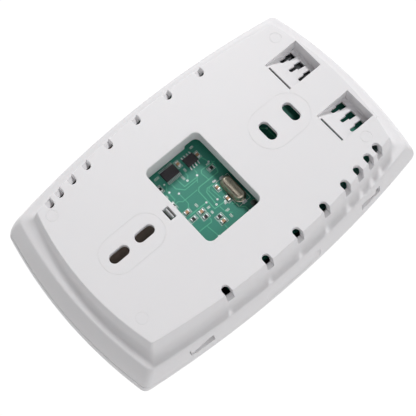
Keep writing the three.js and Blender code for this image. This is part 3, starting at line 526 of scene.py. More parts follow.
def slope(bm, points, z0, z1):
    """A body with the profile points (x, depth), between two heights."""
    verts = [bm.verts.new((x, -d, z0)) for x, d in points]
    face = bm.faces.new(verts)
    grown = bmesh.ops.extrude_face_region(bm, geom=[face])["geom"]
    moved = [v for v in grown if isinstance(v, bmesh.types.BMVert)]
    bmesh.ops.translate(bm, vec=(0, 0, z1 - z0), verts=moved)
    bmesh.ops.recalc_face_normals(bm, faces=list({f for v in verts + moved for f in v.link_faces}))
    return verts + moved


def draw_pocket_blocks(bm):
    start = POCKET_INNER - POCKET_SLIT
    for z0, z1, _ in POCKETS:
        slope(bm, [(POCKET_INNER + 1.3, 0.6), (POCKET_INNER + 1.3, POCKET_SHALLOW + 1.1),
                   (start, POCKET_SHALLOW + 1.1),
                   (POCKET_DEEP_FROM, POCKET_DEEP + 1.1), (-60.9, POCKET_DEEP + 1.1), (-60.9, 0.6)],
                   z0 - 1.3, z1 + 1.3)


def draw_pockets(bm):
    start = POCKET_INNER - POCKET_SLIT
    for z0, z1, _ in POCKETS:
        slope(bm, [(POCKET_INNER, -1), (-59.6, -1), (-59.6, POCKET_DEEP), (POCKET_DEEP_FROM, POCKET_DEEP),
                   (start, POCKET_SHALLOW), (POCKET_INNER, POCKET_SHALLOW)], z0, z1)


def draw_keyholes(bm):
    start = POCKET_INNER - POCKET_SLIT
    for z0, z1, holes in POCKETS:
        block(bm, start, POCKET_INNER, -1, 9.5, z0 + 0.5, z1 - 1.6)
        for z in holes:
            throat = rect_path(-54.3, -50.0, z - 0.8, z + 0.8, 0.79, 0, 6)
            stack(bm, [(0.4, throat), (9.0, throat)])


def draw_keyhole_heads(bm):
    for _, _, holes in POCKETS:
        for z in holes:
            block(bm, -57.3, -53.5, 0.2, 9.3, z - 1.4, z + 1.4)


def draw_marks(bm):
    """Shallow tool marks: a line round each slot pair, and four ejector rings."""
    for x, half_x, half_z in ((39.7, 13.3, 7.3), (-32.0, 12.7, 8.6)):
        groove(bm, lambda grow, x=x, a=half_x, b=half_z: rect_path(x - a, x + a, -b, b, b - 0.3, grow, 14),
               0.24)
    for x, z in ((54.4, 27.0), (54.6, -22.9), (-54.6, 26.5), (-51.4, -25.9)):
        groove(bm, lambda grow, x=x, z=z: round_path(x, z, 2.2 + grow, 36), 0.24)


def groove(bm, path_of, width, depth=0.05):
    """A closed trench of the given width that follows an outline on the raised face."""
    outer, inner = path_of(width / 2), path_of(-width / 2)
    band(bm, [(-0.5, outer), (depth, outer), (depth, inner), (-0.5, inner)])


def draw_scoop(bm):
    x, depth, r, bite, length = SCOOP
    made = rod(bm, (1, 0, 0), (x, depth, -SIDE_WALL - r + bite), r, length, 64)
    bmesh.ops.bevel(bm,
                    geom=[e for e in loop_edges(made) if len(e.link_faces) == 2 and e.calc_face_angle(0) > 1],
                    offset=1.2, segments=4, profile=0.5, affect="EDGES", material=-1)


def draw_scoop_end(bm):
    x, depth, r, bite = SCOOP_END
    bmesh.ops.create_icosphere(bm, subdivisions=4, radius=r,
                               matrix=Matrix.Translation((x, -depth, -SIDE_WALL - r + bite)))


def back_shell():
    bm = bmesh.new()
    outside = [(row[0], case_path(*row[1:])) for row in RAISED_FACE_ROUNDING + STEP_AND_FLANGE + BACK_WALL]
    inside = [(row[0], case_path(*row[1:])) for row in BACK_INSIDE]
    stack(bm, outside + inside)
    shell = mesh_object(bm, "back_shell_fine")
    carve(shell, "UNION", draw_skirts)
    carve(shell, "UNION", lambda b: block(b, -0.5, 20.6, 1.0, 8.6, 17.9, 19.4))
    carve(shell, "UNION", draw_pocket_blocks)
    for draw in (draw_openings, draw_vents, draw_pockets, draw_keyholes, draw_keyhole_heads, draw_marks,
                 draw_scoop,
                 draw_scoop_end):
        carve(shell, "DIFFERENCE", draw)
    return finish_piece(shell, [SHELL], "case", ["back_shell"])


back_shell()

# ---- front shell ----


def key_path(x, grow, steps=6):
    half_x, half_z = KEY_SIZE[0] / 2, KEY_SIZE[1] / 2
    return rect_path(x - half_x, x + half_x, KEY_Z - half_z, KEY_Z + half_z, 1.3, grow, steps)


def front_shell():
    bm = bmesh.new()
    outside = [(row[0], case_path(*row[1:])) for row in FRONT_OUTSIDE]
    inside = [(row[0], case_path(*row[1:])) for row in FRONT_INSIDE]
    stack(bm, outside + inside)
    shell = mesh_object(bm, "front_shell_fine")
    inner = DEPTH - WALL
    x0, x1, z0, z1 = DISPLAY
    bay_x0, bay_x1, bay_z = BAY

    def lip(b):
        rows = [(16.8, 7.3, 5.0), (18.4, 7.3, 5.0), (18.5, 9.3, 6.5), (20.0, 9.3, 6.5)]
        rings = [(d, case_path(gx, gz, 2.8)) for d, gx, gz in rows]
        stack(b, rings + [(20.0, case_path(6.1, 3.8, 2.4)), (16.8, case_path(6.1, 3.8, 2.4))])

    def bosses(b):
        for x, z in BOARD_SCREWS:
            rod(b, (0, 1, 0), (x, (12.4 + inner + 0.5) / 2, z), 2.6, inner + 0.5 - 12.4)
        block(b, 19.5, 21.5, 9.0, inner + 0.5, 0.2, 5.6)
        for side in (-1, 1):
            z_near, z_far = sorted((side * (DOOR_Z + GAP), side * (DOOR_Z + 3)))
            block(b, HINGE_X - 2, HINGE_X + 2.4, inner - 1.6, inner + 0.5, z_near, z_far)

    def seats(b):
        stack(b, [(DEPTH + 1, rect_path(x0, x1, z0, z1, 2.3, 0.3)),
                  (DEPTH - 1.3, rect_path(x0, x1, z0, z1, 2.3, 0.3))])
        for x in KEY_X.values():
            hole, wide = key_path(x, 0.3), key_path(x, 0.7)
            stack(b, [(DEPTH + 1, wide), (DEPTH, wide), (DEPTH - 0.4, hole), (inner - 1, hole)])

    def through(b):
        stack(b, [(DEPTH, rect_path(x0 + 2.5, x1 - 2.5, z0 + 2.5, z1 - 2.5, 1.5)),
                  (inner - 1, rect_path(x0 + 2.5, x1 - 2.5, z0 + 2.5, z1 - 2.5, 1.5))])
        block(b, bay_x0, bay_x1, inner - 1, DEPTH, -bay_z, bay_z)
        for x, z in BOARD_SCREWS:
            rod(b, (0, 1, 0), (x, 15.0, z), 1.2, 8.0, 20)

    def bay(b):
        block(b, bay_x0 - 3.0, bay_x1 + 1.2, 10.1, inner + 0.2, -bay_z - 3.0, bay_z + 3.0)

    def bay_hollow(b):
        block(b, bay_x0, bay_x1, 11.3, DEPTH, -bay_z, bay_z)

    def door_room(b):
        end = DOOR_Z + GAP
        rows = rect_path(DOOR_X0 - GAP, HINGE_X + 1.7, -end, end, 0.6)
        stack(b, [(DEPTH + 1, rows), (DEPTH - 2.3, rows)])

    def barrel_room(b):
        rod(b, (0, 0, 1), (HINGE_X, HINGE_DEPTH, 0), 1.7, 2 * (DOOR_Z + GAP))

    def pin_room(b):
        rod(b, (0, 0, 1), (HINGE_X, HINGE_DEPTH, 0), 0.8, 2 * (DOOR_Z + 1.5), 20)

    def finger_notch(b):
        rod(b, (0, 1, 0), (DOOR_X0 + 5.2, DEPTH, 0), 9.0, 2.0, 64)

    for operation, draw in (("UNION", lip), ("UNION", bosses), ("DIFFERENCE", seats), ("DIFFERENCE", through),
                            ("DIFFERENCE", finger_notch), ("UNION", bay), ("DIFFERENCE", bay_hollow),
                            ("DIFFERENCE", door_room), ("DIFFERENCE", barrel_room), ("DIFFERENCE", pin_room)):
        carve(shell, operation, draw)
    # The back wall of the battery bay takes the second material, a painted shade standing in for the dim inside
    # of the case.
    painted_shade_faces = [p for p in shell.data.polygons if p.center.y > -0.0102 and 0.0262 < p.center.x < 0.062]
    for face in painted_shade_faces:
        face.material_index = 1
    return finish_piece(shell, [SHELL, BAY_PAINTED_SHADE], "case", ["front_shell"])


front_shell()
for node_name in ("latch_right", "latch_left"):
    softened(node_name, 0.25)

# ---- circuit board: copper, legend, solder and parts ----

TOP = BOARD_BACK                                       # the board's wall-side face
# copper lines under the mask: width, then (x, z) along the line
TRACES = [
    (0.3, (12.2, 11.4), (12.1, 8.5), (9.8, 5.9), (3.8, 5.9), (2.6, 7.2)),
    (0.3, (9.4, 11.0), (9.1, 7.0), (3.4, 6.8)),
    (0.35, (-4.2, 3.1), (0.7, 3.1), (5.3, 3.2), (6.4, 2.1), (6.5, -7.0), (1.7, -7.4)),
    (0.35, (0.6, 0.6), (3.2, 0.9), (4.4, -0.2), (4.9, -6.1)),
    (0.25, (2.1, 0.8), (3.5, -0.3), (3.3, -4.8)),
    (0.25, (2.3, -0.8), (1.9, -5.1)),
    (0.3, (-6.0, 7.3), (-3.5, 7.5), (0.0, 7.8), (0.9, 6.8), (0.5, 3.4)),
    (0.4, (15.3, -2.9), (7.2, -3.1)),
    (0.3, (16.5, -9.9), (10.9, -10.1), (10.3, -9.3), (10.3, -7.5)),
    (0.25, (13.1, -10.5), (12.4, -15.9), (11.5, -18.0)),
    (0.25, (8.0, -13.3), (7.9, -18.5)),
    (0.35, (0.2, -9.7), (-1.1, -11.0), (-0.9, -12.6), (-2.6, -13.8), (-2.7, -18.0)),
    (0.25, (12.5, 6.1), (12.4, 1.1), (13.9, -0.6)),
    (0.25, (4.5, -7.7), (4.3, -10.5), (2.5, -12.5)),
    (0.25, (6.5, 2.9), (13.5, 2.9), (14.8, 4.1), (18.0, 4.1)),
    (0.3, (-2.7, 13.7), (-4.3, 8.8)),
    (0.3, (-5.3, 8.1), (-4.9, 4.8), (-4.2, 3.1)),
    (0.25, (5.3, 11.3), (5.3, 9.4), (6.6, 8.2)),
    (0.3, (-0.7, 0.1), (-0.8, -5.3)),
    (0.25, (13.6, 12.0), (15.2, 10.3), (15.2, 5.4), (16.6, 4.9)),
    (0.25, (1.9, 9.9), (1.9, 8.3), (4.4, 5.0)),
    (0.5, (-30.0, -18.0), (-30.0, 4.0), (-16.0, 18.0), (-6.0, 20.5)),
    (0.5, (-26.0, -18.0), (-26.0, 2.0), (-13.0, 15.0), (-7.5, 15.5)),
    (0.5, (-44.0, -24.0), (-52.0, -16.0), (-52.0, 0.0), (-47.0, 4.4)),
    (0.3, (-7.5, -9.0), (-16.0, -9.0), (-20.0, -13.0), (-20.0, -26.0), (-6.0, -30.0)),
    (0.3, (9.0, -20.0), (9.0, -26.0), (11.5, -28.0)),
]
VIAS = [(12.5, 6.3), (-5.6, -14.7), (-0.3, 1.3), (-1.0, 1.2), (7.2, -3.1), (4.9, -6.2), (3.3, -4.9),
        (10.3, -7.4),
        (16.6, 4.9), (-4.3, 8.6), (2.6, 7.3), (6.7, 8.1), (14.9, 9.0), (1.7, -7.4), (-2.7, -16.0),
        (12.4, -16.0),
        (-30.0, 4.0), (-20.0, -13.0), (-52.0, 0.0), (9.0, -20.0)]
# short legend strokes beside the parts, standing in for part marks: (x, z, length, turned)
LEGEND = [(14.9, 16.3, 2.2, 0), (7.2, 10.0, 1.9, 90), (10.7, -1.5, 1.6, 90),
          (7.9, -5.1, 1.3, 0), (4.6, 11.9, 1.5, 90), (-3.3, 17.3, 1.5, 0),
          (3.3, -10.5, 1.6, 0), (3.7, -13.0, 1.5, 90), (-3.4, 8.0, 1.5, 0),
          (8.1, -7.4, 1.2, 90), (1.8, -8.0, 1.4, 0), (16.9, 8.2, 1.4, 90),
          (-35.0, 9.4, 4.0, 0), (-12.0, -24.0, 2.0, 90)]
# (x, z, upright) of the small resistors, and of the capacitors by node
RESISTORS = [(-3.4, 6.0, False), (15.1, -4.8, False), (11.1, -7.1, False), (7.3, -10.5, False),
             (16.7, 12.2, True),
             (17.2, 3.9, True)]
CAPACITORS = [(5.1, 15.4, True), (-2.9, 13.4, True), (0.2, -1.5, True), (0.2, -7.3, True),
              (15.2, -1.3, False),
              (11.0, -4.7, False), (7.3, -12.8, False)]


def strip(bm, a, b, width, rise, base=TOP):
    """A thin bar with rounded ends from a to b on the board."""
    along = Vector(b) - Vector(a)
    turn = math.atan2(along.y, along.x)
    reach = along.length / 2
    outline = rect_path(-reach, reach, -0.01, 0.01, 0.0, width / 2, 3)
    made = stack(bm, [(base - rise, outline), (base - 0.005, outline)])
    centre = (Vector(a) + Vector(b)) / 2
    bmesh.ops.rotate(bm, cent=(0, 0, 0), matrix=Matrix.Rotation(-turn, 3, "Y"), verts=made)
    bmesh.ops.translate(bm, vec=(centre.x, 0, centre.y), verts=made)


def draw_traces(bm):
    for i, (width, *points) in enumerate(TRACES):
        for k, (a, b) in enumerate(zip(points, points[1:])):
            strip(bm, a, b, width, 0.045 + 0.001 * (i % 5) + 0.0004 * k)


def flat_ring(bm, x, z, outer, inner, rise):
    """A washer lying on the board."""
    bridged_rings(bm, [(TOP - d, round_path(x, z, r, 20)) for d, r in
              ((rise, outer), (0.005, outer), (0.005, inner), (rise, inner))])


def draw_vias(bm):
    for x, z in VIAS:
        flat_ring(bm, x, z, 0.42, 0.18, 0.06)
    for x, z in BOARD_SCREWS:
        flat_ring(bm, x, z, 2.6, 2.2, 0.05)


def frame_line(bm, x, z, half_x, half_z, width=0.16):
    """A thin rectangle of legend ink round a part."""
    for a, b in (((-1, -1), (1, -1)), ((1, -1), (1, 1)), ((1, 1), (-1, 1)), ((-1, 1), (-1, -1))):
        strip(bm, (x + a[0] * half_x, z + a[1] * half_z), (x + b[0] * half_x, z + b[1] * half_z), width,
              0.03 if a[0] == a[1] else 0.032)


def draw_legend(bm):
    for x, z, length, turned in LEGEND:
        for step in (-1, 0, 1):
            dx, dz = (0, step * length / 3) if turned else (step * length / 3, 0)
            tall, wide = (length / 9, 0.36) if turned else (0.36, length / 9)
            frame_line(bm, x + dx, z + dz, wide, tall, 0.09)
    for x, z, upright in RESISTORS + CAPACITORS:
        half_x, half_z = (0.95, 1.6) if upright else (1.6, 0.95)
        frame_line(bm, x, z, half_x, half_z, 0.1)
    frame_line(bm, *CRYSTAL[:2], 2.85, 6.4, 0.15)
    flat_ring(bm, -6.0, -14.9, 1.3, 1.12, 0.03)
    flat_ring(bm, 14.3, 12.6, 0.35, 0.02, 0.031)


new_piece("board_traces", draw_traces, [TRACE], "case")
new_piece("board_vias", draw_vias, [TIN], "case")
new_piece("board_legend", draw_legend, [SILK], "case")


def assign(verts, index):
    for face in {f for v in verts for f in v.link_faces}:
        face.material_index = index


def draw_chip_part(bm, x, z, upright, half_long, half_short, height, lift=0.06):
    """A two-ended part: a body, two solder-dipped ends that wrap it, and a solder fillet at each end."""
    def spot(x0, x1, z0, z1):
        return (x + z0, x + z1, z + x0, z + x1) if upright else (x + x0, x + x1, z + z0, z + z1)

    x0, x1, z0, z1 = spot(-half_long + 0.05, half_long - 0.05, -half_short + 0.04, half_short - 0.04)
    body = rounded_block(bm, lambda g: rect_path(x0, x1, z0, z1, 0.12, g, 3), TOP - lift - height + 0.04,
                         TOP - lift,
                         0.08, 2, (True, False))
    assign(body, 0)
    for side in (-1, 1):
        a, b = sorted((side * half_long, side * (half_long - 0.42)))
        ends = spot(a, b, -half_short, half_short)
        cap = rounded_block(bm, lambda g, e=ends: rect_path(*e, 0.1, g, 3), TOP - lift - height, TOP - lift,
                            0.1, 2, (True, False))
        assign(cap, 1)

        def foot(out, trim, r):
            a, b = sorted((side * (half_long - 0.1), side * (half_long + out)))
            return rect_path(*spot(a, b, -half_short + trim, half_short - trim), r, 0, 3)

        fillet = stack(bm, [(TOP - lift - height * 0.55, foot(0.06, 0.1, 0.05)),
                            (TOP - lift - 0.1, foot(0.2, 0.03, 0.06)), (TOP - 0.03, foot(0.28, 0, 0.1))])
        assign(fillet, 1)


for i, (x, z, upright) in enumerate(CAPACITORS, 1):
    new_piece(f"capacitor_chip_{i}", lambda bm, x=x, z=z,
              u=upright: draw_chip_part(bm, x, z, u, 1.0, 0.62, 0.66),
              [CERAMIC, TIN], "case", [f"chip_capacitor_{i}"])
for i, (x, z, upright) in enumerate(RESISTORS, 1):
    new_piece(f"resistor_chip_{i}", lambda bm, x=x, z=z,
              u=upright: draw_chip_part(bm, x, z, u, 1.0, 0.6, 0.45),
              [RESIST, TIN], "case")


def draw_lead(bm, x, z, side, reach, width, height):
    """A gull-wing lead: out from the body, down, and flat onto its pad; z is where it leaves the body."""
    thick = 0.15
    made = bmesh.ops.create_grid(bm, x_segments=1, y_segments=1, size=0.5)["verts"]
    bmesh.ops.scale(bm, vec=(width, thick, 1), verts=made)
    bmesh.ops.translate(bm, vec=(x, -TOP + height, z), verts=made)
    face = next(iter({f for v in made for f in v.link_faces}))
    everything = list(made)
    for dy, dz in ((0, 0.3), (-height * 0.5 + 0.06, 0.12), (-height * 0.5 + 0.06, 0.1), (-0.01, reach)):
        out = bmesh.ops.extrude_face_region(bm, geom=[face])["geom"]
        moved = [g for g in out if isinstance(g, bmesh.types.BMVert)]
        new_face = [g for g in out if isinstance(g, bmesh.types.BMFace)][0]
        if face != new_face and len(everything) > 4:
            bmesh.ops.delete(bm, geom=[face], context="FACES_ONLY")
        bmesh.ops.translate(bm, vec=(0, dy, side * dz), verts=moved)
        face = new_face
        everything += moved
    bmesh.ops.recalc_face_normals(bm, faces=list({f for v in everything for f in v.link_faces}))
    assign(everything, 1)
    pad = rounded_block(bm, lambda g: rect_path(x - width * 0.6, x + width * 0.6, *sorted(
        (z + side * 0.35, z + side * (0.75 + reach))), 0.08, g, 2), TOP - 0.09, TOP - 0.02, 0.03, 1,
        (True, False))
    assign(pad, 1)


def draw_chip(bm, x, z, body_x, body_z, height, pitch, per_side, width, span):
    """A small-outline chip: a body tapered both ways from its parting line, a pin-one mark and its leads."""
    def grown(g):
        return rect_path(x - body_x / 2, x + body_x / 2, z - body_z / 2, z + body_z / 2, 0.12, g, 3)

    base = TOP - 0.1
    body = stack(bm, [(base - height, grown(-0.22)), (base - height + 0.05, grown(-0.15)),
                      (base - height * 0.5 - 0.03, grown(0)), (base - height * 0.5 + 0.03, grown(0)),
                      (base, grown(-0.1))])
    assign(body, 0)
    dimple = ring_dimple(bm, x - body_x / 2 + 0.75, z - body_z / 2 + 0.75, base - height)
    assign(dimple, 0)
    for side in (-1, 1):
        for i in range(per_side):
            at = x + (i - (per_side - 1) / 2) * pitch
            draw_lead(bm, at, z + side * (body_z / 2 - 0.1), side, (span - body_z) / 2 - 0.42, width,
                      height * 0.5 + 0.1)


def ring_dimple(bm, x, z, top, r=0.3):
    """The round mark beside pin one, standing a hair above the body."""
    return stack(bm, [(top - 0.012, round_path(x, z, r, 20)), (top + 0.02, round_path(x, z, r, 20))])


new_piece("microcontroller_fine", lambda bm: draw_chip(bm, 9.8, 14.6, 6.5, 4.4, 1.0, 0.65, 10, 0.24, 6.4),
          [EPOXY, TIN],
          "case", ["microcontroller"])
new_piece("memory_chip_fine", lambda bm: draw_chip(bm, 0.6, 13.4, 4.9, 3.9, 1.4, 1.27, 4, 0.42, 6.0),
          [EPOXY, TIN],
          "case", ["memory_chip"])


def draw_crystal(bm):
    """A can crystal: a domed can, its welded flange and a solder foot at each end."""
    x, z, half_x, half_z = CRYSTAL

    def can(grow):
        return rect_path(x - half_x, x + half_x, z - half_z, z + half_z, half_x - 0.05, grow, 12)

    top = TOP - 3.5
    assign(stack(bm, [(top, can(-1.15)), (top + 0.05, can(-0.85)), (top + 0.18, can(-0.55)),
                          (top + 0.4, can(-0.28)),
                          (top + 0.7, can(-0.1)), (top + 1.1, can(0)), (TOP - 1.0, can(0)),
                          (TOP - 0.86, can(0.06)), (TOP - 0.78, can(0.2)),
                          (TOP - 0.74, can(0.32)), (TOP - 0.55, can(0.35)), (TOP - 0.4, can(0.3)),
                          (TOP - 0.3, can(0.2))]), 0)
    for side in (-1, 1):
        z0, z1 = sorted((z + side * (half_z + 0.1), z + side * (half_z + 1.35)))
        assign(rounded_block(bm, lambda g: rect_path(x - 0.95, x + 0.95, z0, z1, 0.25, g, 4),
                                 TOP - 0.45, TOP - 0.02,
                                 0.16, 3, (True, False)), 1)


new_piece("crystal_fine", draw_crystal, [NICKEL, TIN], "case", ["crystal"])
for node_name in ("relay", "terminal_block"):
    softened(node_name, 0.2)
for key_name in KEY_X:
    softened(f"switch_{key_name}", 0.15)
for i in (1, 2, 3):
    softened(f"terminal_cage_{i}", 0.12)

# ---- display ----

x0, x1, z0, z1 = DISPLAY


def draw_window(bm):
    made = rounded_block(bm, lambda g: rect_path(x0, x1, z0, z1, 2.3, g, 8), DEPTH - 1.0, DEPTH, 0.2, 3,
                         (False, True))
    assign(made, 0)


def draw_border(bm):
    """The dark print on the inside of the window, open over the glass."""
    outer, inner = rect_path(x0, x1, z0, z1, 2.3, -0.3, 8), rect_path(x0 + 5, x1 - 5, z0 + 5, z1 - 4, 1.5,
                                                                      0, 8)
    back, front = DEPTH - 1.12, DEPTH - 1.04
    bridged_rings(bm, [(back, outer), (front, outer), (front, inner), (back, inner)])


def draw_bar(bm, x, z, half_x, half_z, depth=25.62):
    """One lit segment, with pointed ends, just in front of the glass."""
    reach, thick = max(half_x, half_z), min(half_x, half_z)
    flat = [(-reach, 0), (-reach + thick, thick), (reach - thick, thick), (reach, 0), (reach - thick, -thick),
            (-reach + thick, -thick)]
    path = [Vector((x + (a if half_x > half_z else b), z + (b if half_x > half_z else a))) for a, b in flat]
    stack(bm, [(depth + 0.03, path), (depth, path)])


DIGITS = {"0": "abcdef", "1": "bc", "2": "abged", "5": "afgcd"}


def draw_digit(bm, figure, x, z, half_x, half_z, thick):
    places = {"a": (0, 1, 1), "g": (0, 0, 1), "d": (0, -1, 1), "b": (1, 0.5, 0), "c": (1, -0.5, 0),
              "e": (-1, -0.5, 0),
              "f": (-1, 0.5, 0)}
    for name in DIGITS[figure]:
        a, b, level = places[name]
        if level:
            draw_bar(bm, x + a * half_x, z + b * half_z, half_x - thick * 0.7, thick)
        else:
            draw_bar(bm, x + a * half_x, z + b * half_z, thick, half_z / 2 - thick * 0.7)


def draw_readout(bm):
    """A temperature, three smaller figures and a row of ticks for the day's programme."""
    for figure, x in (("2", -37.0), ("1", -24.0)):
        draw_digit(bm, figure, x, 6.0, 4.6, 8.6, 0.85)
    draw_digit(bm, "5", -12.0, 3.2, 3.0, 5.6, 0.6)
    stack(bm, [(25.65, round_path(-17.6, -2.4, 0.8, 20)), (25.62, round_path(-17.6, -2.4, 0.8, 20))])
    for figure, x in (("1", -4.4), ("0", 0.4), ("2", 5.6)):
        draw_digit(bm, figure, x, 14.0, 1.5, 2.8, 0.33)
    for k in range(24):
        draw_bar(bm, -44.0 + k * 2.1, -7.3, 0.7, 0.5 + 0.5 * (k in range(7, 20)))


new_piece("window_clear", draw_window, [WINDOW], "case", ["display_window"])
new_piece("window_border", draw_border, [BORDER], "case")
new_piece("lcd_segments", draw_readout, [DIGIT], "case")

# ---- keys ----


def draw_key(bm, x):
    def cap(g):
        return key_path(x, g)

    front = DEPTH + 0.76
    stack(bm, [(front, cap(-1.5)), (front - 0.03, cap(-0.8)), (front - 0.12, cap(-0.35)),
               (front - 0.3, cap(-0.1)),
               (front - 0.55, cap(0)), (25.6, cap(0)), (25.6, cap(0.98)), (24.85, cap(0.98)),
               (24.8, cap(0.9))])
    rod(bm, (0, 1, 0), (x, (17.45 + 25.0) / 2, KEY_Z), 1.3, 25.0 - 17.45, 24)


def draw_icon(bm, name, x):
    depth = DEPTH + 0.765

    def patch(path):
        stack(bm, [(depth + 0.025, path), (depth - 0.02, path)])

    def loop(r, width):
        rows = ((0.025, r), (-0.02, r), (-0.02, r - width), (0.025, r - width))
        bridged_rings(bm, [(depth + d, round_path(x, KEY_Z, q, 32)) for d, q in rows])

    if name in ("down", "up"):
        side = 1 if name == "up" else -1
        patch([Vector((x + a, KEY_Z + side * b)) for a, b in ((-1.1, -0.7), (1.1, -0.7), (0, 0.9))])
    elif name == "mode":
        for dz in (-0.8, 0, 0.8):
            patch(rect_path(x - 1.2, x + 1.2, KEY_Z + dz - 0.16, KEY_Z + dz + 0.16, 0.1, 0, 3))
    elif name == "power":
        loop(1.15, 0.28)
        patch(rect_path(x - 0.14, x + 0.14, KEY_Z - 0.1, KEY_Z + 0.8, 0.1, 0, 3))
    else:
        loop(1.2, 0.22)
        patch(rect_path(x - 0.1, x + 0.1, KEY_Z - 0.05, KEY_Z + 0.75, 0.08, 0, 3))
        patch(rect_path(x + 0.12, x + 0.62, KEY_Z - 0.1, KEY_Z + 0.1, 0.08, 0, 3))


for key_name, key_x in KEY_X.items():
    new_piece(f"{key_name}_cap", lambda bm, x=key_x: draw_key(bm, x), [KEY], f"{key_name}_key",
              [f"key_{key_name}"])
    new_piece(f"{key_name}_icon", lambda bm, n=key_name, x=key_x: draw_icon(bm, n, x), [ICON],
              f"{key_name}_key")

# ---- battery door, cells and springs ----


def door():
    bm = bmesh.new()
    rounded_block(bm, lambda g: rect_path(DOOR_X0, HINGE_X, -DOOR_Z, DOOR_Z, 0.5, g, 4), DEPTH - WALL,
                  DEPTH, 0.3, 3,
                  (False, True))
    made = mesh_object(bm, "door_fine")
    carve(made, "UNION", lambda b: rod(b, (0, 0, 1), (HINGE_X, HINGE_DEPTH, 0), 1.4, 2 * DOOR_Z - 0.02, 40))
    carve(made, "UNION", lambda b: rod(b, (0, 0, 1), (HINGE_X, HINGE_DEPTH, 0), 0.7, 2 * (DOOR_Z + 1.2), 28))

    def grip(b):
        for k in range(5):
            x = DOOR_X0 + 2.2 + 1.5 * k
            reach = 7.5 - 0.35 * k * k
            stack(b, [(DEPTH + 0.5, rect_path(x - 0.45, x + 0.45, -reach, reach, 0.4, 0, 5)),
                      (DEPTH - 0.35, rect_path(x - 0.25, x + 0.25, -reach + 0.2, reach - 0.2, 0.24, 0, 5))])

    carve(made, "DIFFERENCE", grip)
    return finish_piece(made, [SHELL], "door", ["battery_door"])


door()


def draw_cell(bm, x, up):
    """An AA cell, spun from its side profile."""
    profile = [(0, -CELL_HALF), (CELL_R - 1.2, -CELL_HALF), (CELL_R - 0.7, -CELL_HALF + 0.1),
               (CELL_R - 0.25, -CELL_HALF + 0.35), (CELL_R - 0.04, -CELL_HALF + 0.9),
               (CELL_R, -CELL_HALF + 1.6),
               (CELL_R, CELL_HALF - 1.6), (CELL_R - 0.05, CELL_HALF - 0.8), (CELL_R - 0.4, CELL_HALF - 0.25),
               (CELL_R - 1.0, CELL_HALF - 0.05), (CELL_R - 1.6, CELL_HALF - 0.02), (3.3, CELL_HALF - 0.02),
               (2.75, CELL_HALF + 0.15), (2.68, CELL_HALF + 0.95), (2.4, CELL_HALF + 1.22),
               (0, CELL_HALF + 1.3)]
    verts = [bm.verts.new((r, 0, up * h)) for r, h in profile]
    edges = [bm.edges.new(pair) for pair in zip(verts, verts[1:])]
    bmesh.ops.spin(bm, geom=verts + edges, axis=(0, 0, 1), cent=(0, 0, 0), steps=48, angle=2 * math.pi,
                   use_merge=True)
    bmesh.ops.remove_doubles(bm, verts=bm.verts, dist=1e-4)
    bmesh.ops.recalc_face_normals(bm, faces=bm.faces)
    for face in bm.faces:
        middle = face.calc_center_median()
        face.material_index = 1 if math.hypot(middle.x, middle.y) < CELL_R - 0.9 else 0
    bmesh.ops.translate(bm, vec=(x, -CELL_DEPTH, 0), verts=bm.verts)


for node_name, (cell_x, up) in CELLS.items():
    new_piece(node_name + "_fine", lambda bm, x=cell_x, up=up: draw_cell(bm, x, up), [SLEEVE, PLATE],
              "case",
              [node_name])


def draw_spring(bm, x, side):
    """A conical contact spring, wound wide at the plate and narrowing to the cell."""
    wire, turns, wide, narrow, height = 0.28, 2.2, 4.2, 2.2, 1.6
    start = Matrix.Translation((wide, 0, 0)) @ Matrix.Rotation(math.pi / 2, 4, "X")
    made = bmesh.ops.create_circle(bm, segments=10, radius=wire, cap_ends=True, matrix=start)["verts"]
    faces = list({f for v in made for f in v.link_faces})
    bmesh.ops.spin(bm, geom=faces, axis=(0, 0, 1), cent=(0, 0, 0), dvec=(0, 0, height / 90),
                   angle=turns * 2 * math.pi,
                   steps=90, use_duplicate=False)
    for vert in bm.verts:
        radius = math.hypot(vert.co.x, vert.co.y)
        share = min(max(vert.co.z / height, 0), 1)
        shrink = (radius - (wide - narrow) * share) / radius
        vert.co.x, vert.co.y = vert.co.x * shrink, vert.co.y * shrink
    bmesh.ops.recalc_face_normals(bm, faces=bm.faces)
    if side > 0:
        bmesh.ops.rotate(bm, cent=(0, 0, 0), matrix=Matrix.Rotation(math.pi, 3, "X"), verts=bm.verts)
    bmesh.ops.translate(bm, vec=(x, -CELL_DEPTH, side * (BAY[2] - 2 * GAP - 0.45)), verts=bm.verts)


for i, side in ((1, -1), (2, 1)):
    new_piece(f"spring_{i}_fine", lambda bm, x=CELLS[f"battery_{i}"][0], side=side: draw_spring(bm, x, side),
              [STEEL], "case", [f"battery_spring_{i}"])

# ---- camera, light and floor ----


LENS_MM, SENSOR_MM = 82.87, 36
CAMERA_PLACE = (0.08709, 0.32431, -0.0930)
CAMERA_RIGHT, CAMERA_BACK = (-0.7463, 0.0012, -0.6655), (0.2222, 0.9430, -0.2475)


def add_camera():
    data = bpy.data.cameras.new("camera")
    data.lens, data.sensor_width, data.clip_start, data.clip_end = LENS_MM, SENSOR_MM, 0.01, 20
    camera = bpy.data.objects.new("camera", data)
    right, back = Vector(CAMERA_RIGHT).normalized(), Vector(CAMERA_BACK)
    back = (back - right * back.dot(right)).normalized()
    camera.matrix_world = Matrix((right, back.cross(right), back)).transposed().to_4x4()
    camera.location = CAMERA_PLACE
    bpy.context.scene.collection.objects.link(camera)
    bpy.context.scene.camera = camera


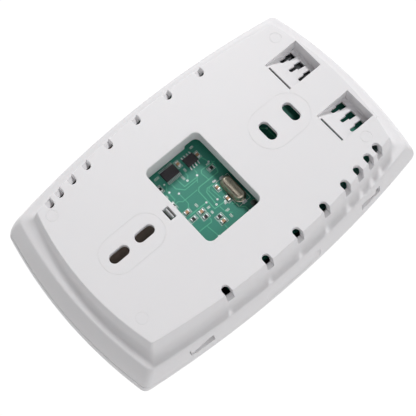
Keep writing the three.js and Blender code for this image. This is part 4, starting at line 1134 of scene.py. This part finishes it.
def add_area(name, towards, distance, size, power, color="#ffffff", aim=(0, 0, 0)):
    data = bpy.data.lights.new(name, "AREA")
    data.shape, data.size, data.energy, data.color = "DISK", size, power, linear(color)[:3]
    light = bpy.data.objects.new(name, data)
    direction = Vector(towards).normalized()
    light.location = Vector(aim) + direction * distance
    light.rotation_mode = "QUATERNION"
    light.rotation_quaternion = direction.to_track_quat("Z", "Y")
    bpy.context.scene.collection.objects.link(light)


def add_world():
    """A white studio, dimmer on the wall side so that the key light shapes the back of the case."""
    world = bpy.data.worlds.new("studio")
    world.use_nodes = True
    tree = world.node_tree
    tree.nodes.clear()
    place = add_node(tree, "ShaderNodeTexCoord")
    axis = add_node(tree, "ShaderNodeSeparateXYZ", links={0: place.outputs["Generated"]})
    fade = add_node(tree, "ShaderNodeMapRange",
                    {"From Min": 0.6, "From Max": -0.15, "To Min": 0.09, "To Max": 1.05},
                    {"Value": axis.outputs["Y"]})
    side = add_node(tree, "ShaderNodeMapRange",
                    {"From Min": 0.0, "From Max": 1.0, "To Min": 1.0, "To Max": 0.75},
                    {"Value": axis.outputs["X"]})
    both = add_node(tree, "ShaderNodeMath", {"operation": "MULTIPLY"},
                    {0: fade.outputs[0], 1: side.outputs[0]})
    back = add_node(tree, "ShaderNodeBackground", {"Color": linear("#ffffff")}, {"Strength": both.outputs[0]})
    add_node(tree, "ShaderNodeOutputWorld", links={"Surface": back.outputs[0]})
    bpy.context.scene.world = world


def add_floor():
    bm = bmesh.new()
    bmesh.ops.create_grid(bm, x_segments=1, y_segments=1, size=1.6, matrix=Matrix.Translation((0, 0, -0.3)))
    mesh = bpy.data.meshes.new("floor")
    bm.to_mesh(mesh)
    bm.free()
    floor = bpy.data.objects.new("floor", mesh)
    mesh.materials.append(simple("floor_paper", ("#e8e8e8", "#e6e6e6"), (0.65, 0.75), 2.0, 0.01))
    bpy.context.scene.collection.objects.link(floor)


bpy.context.scene.view_settings.view_transform = "Standard"
add_camera()
add_world()
add_area("key", (-0.5, 1.0, 0.78), 1.6, 0.26, 16.5)
add_floor()
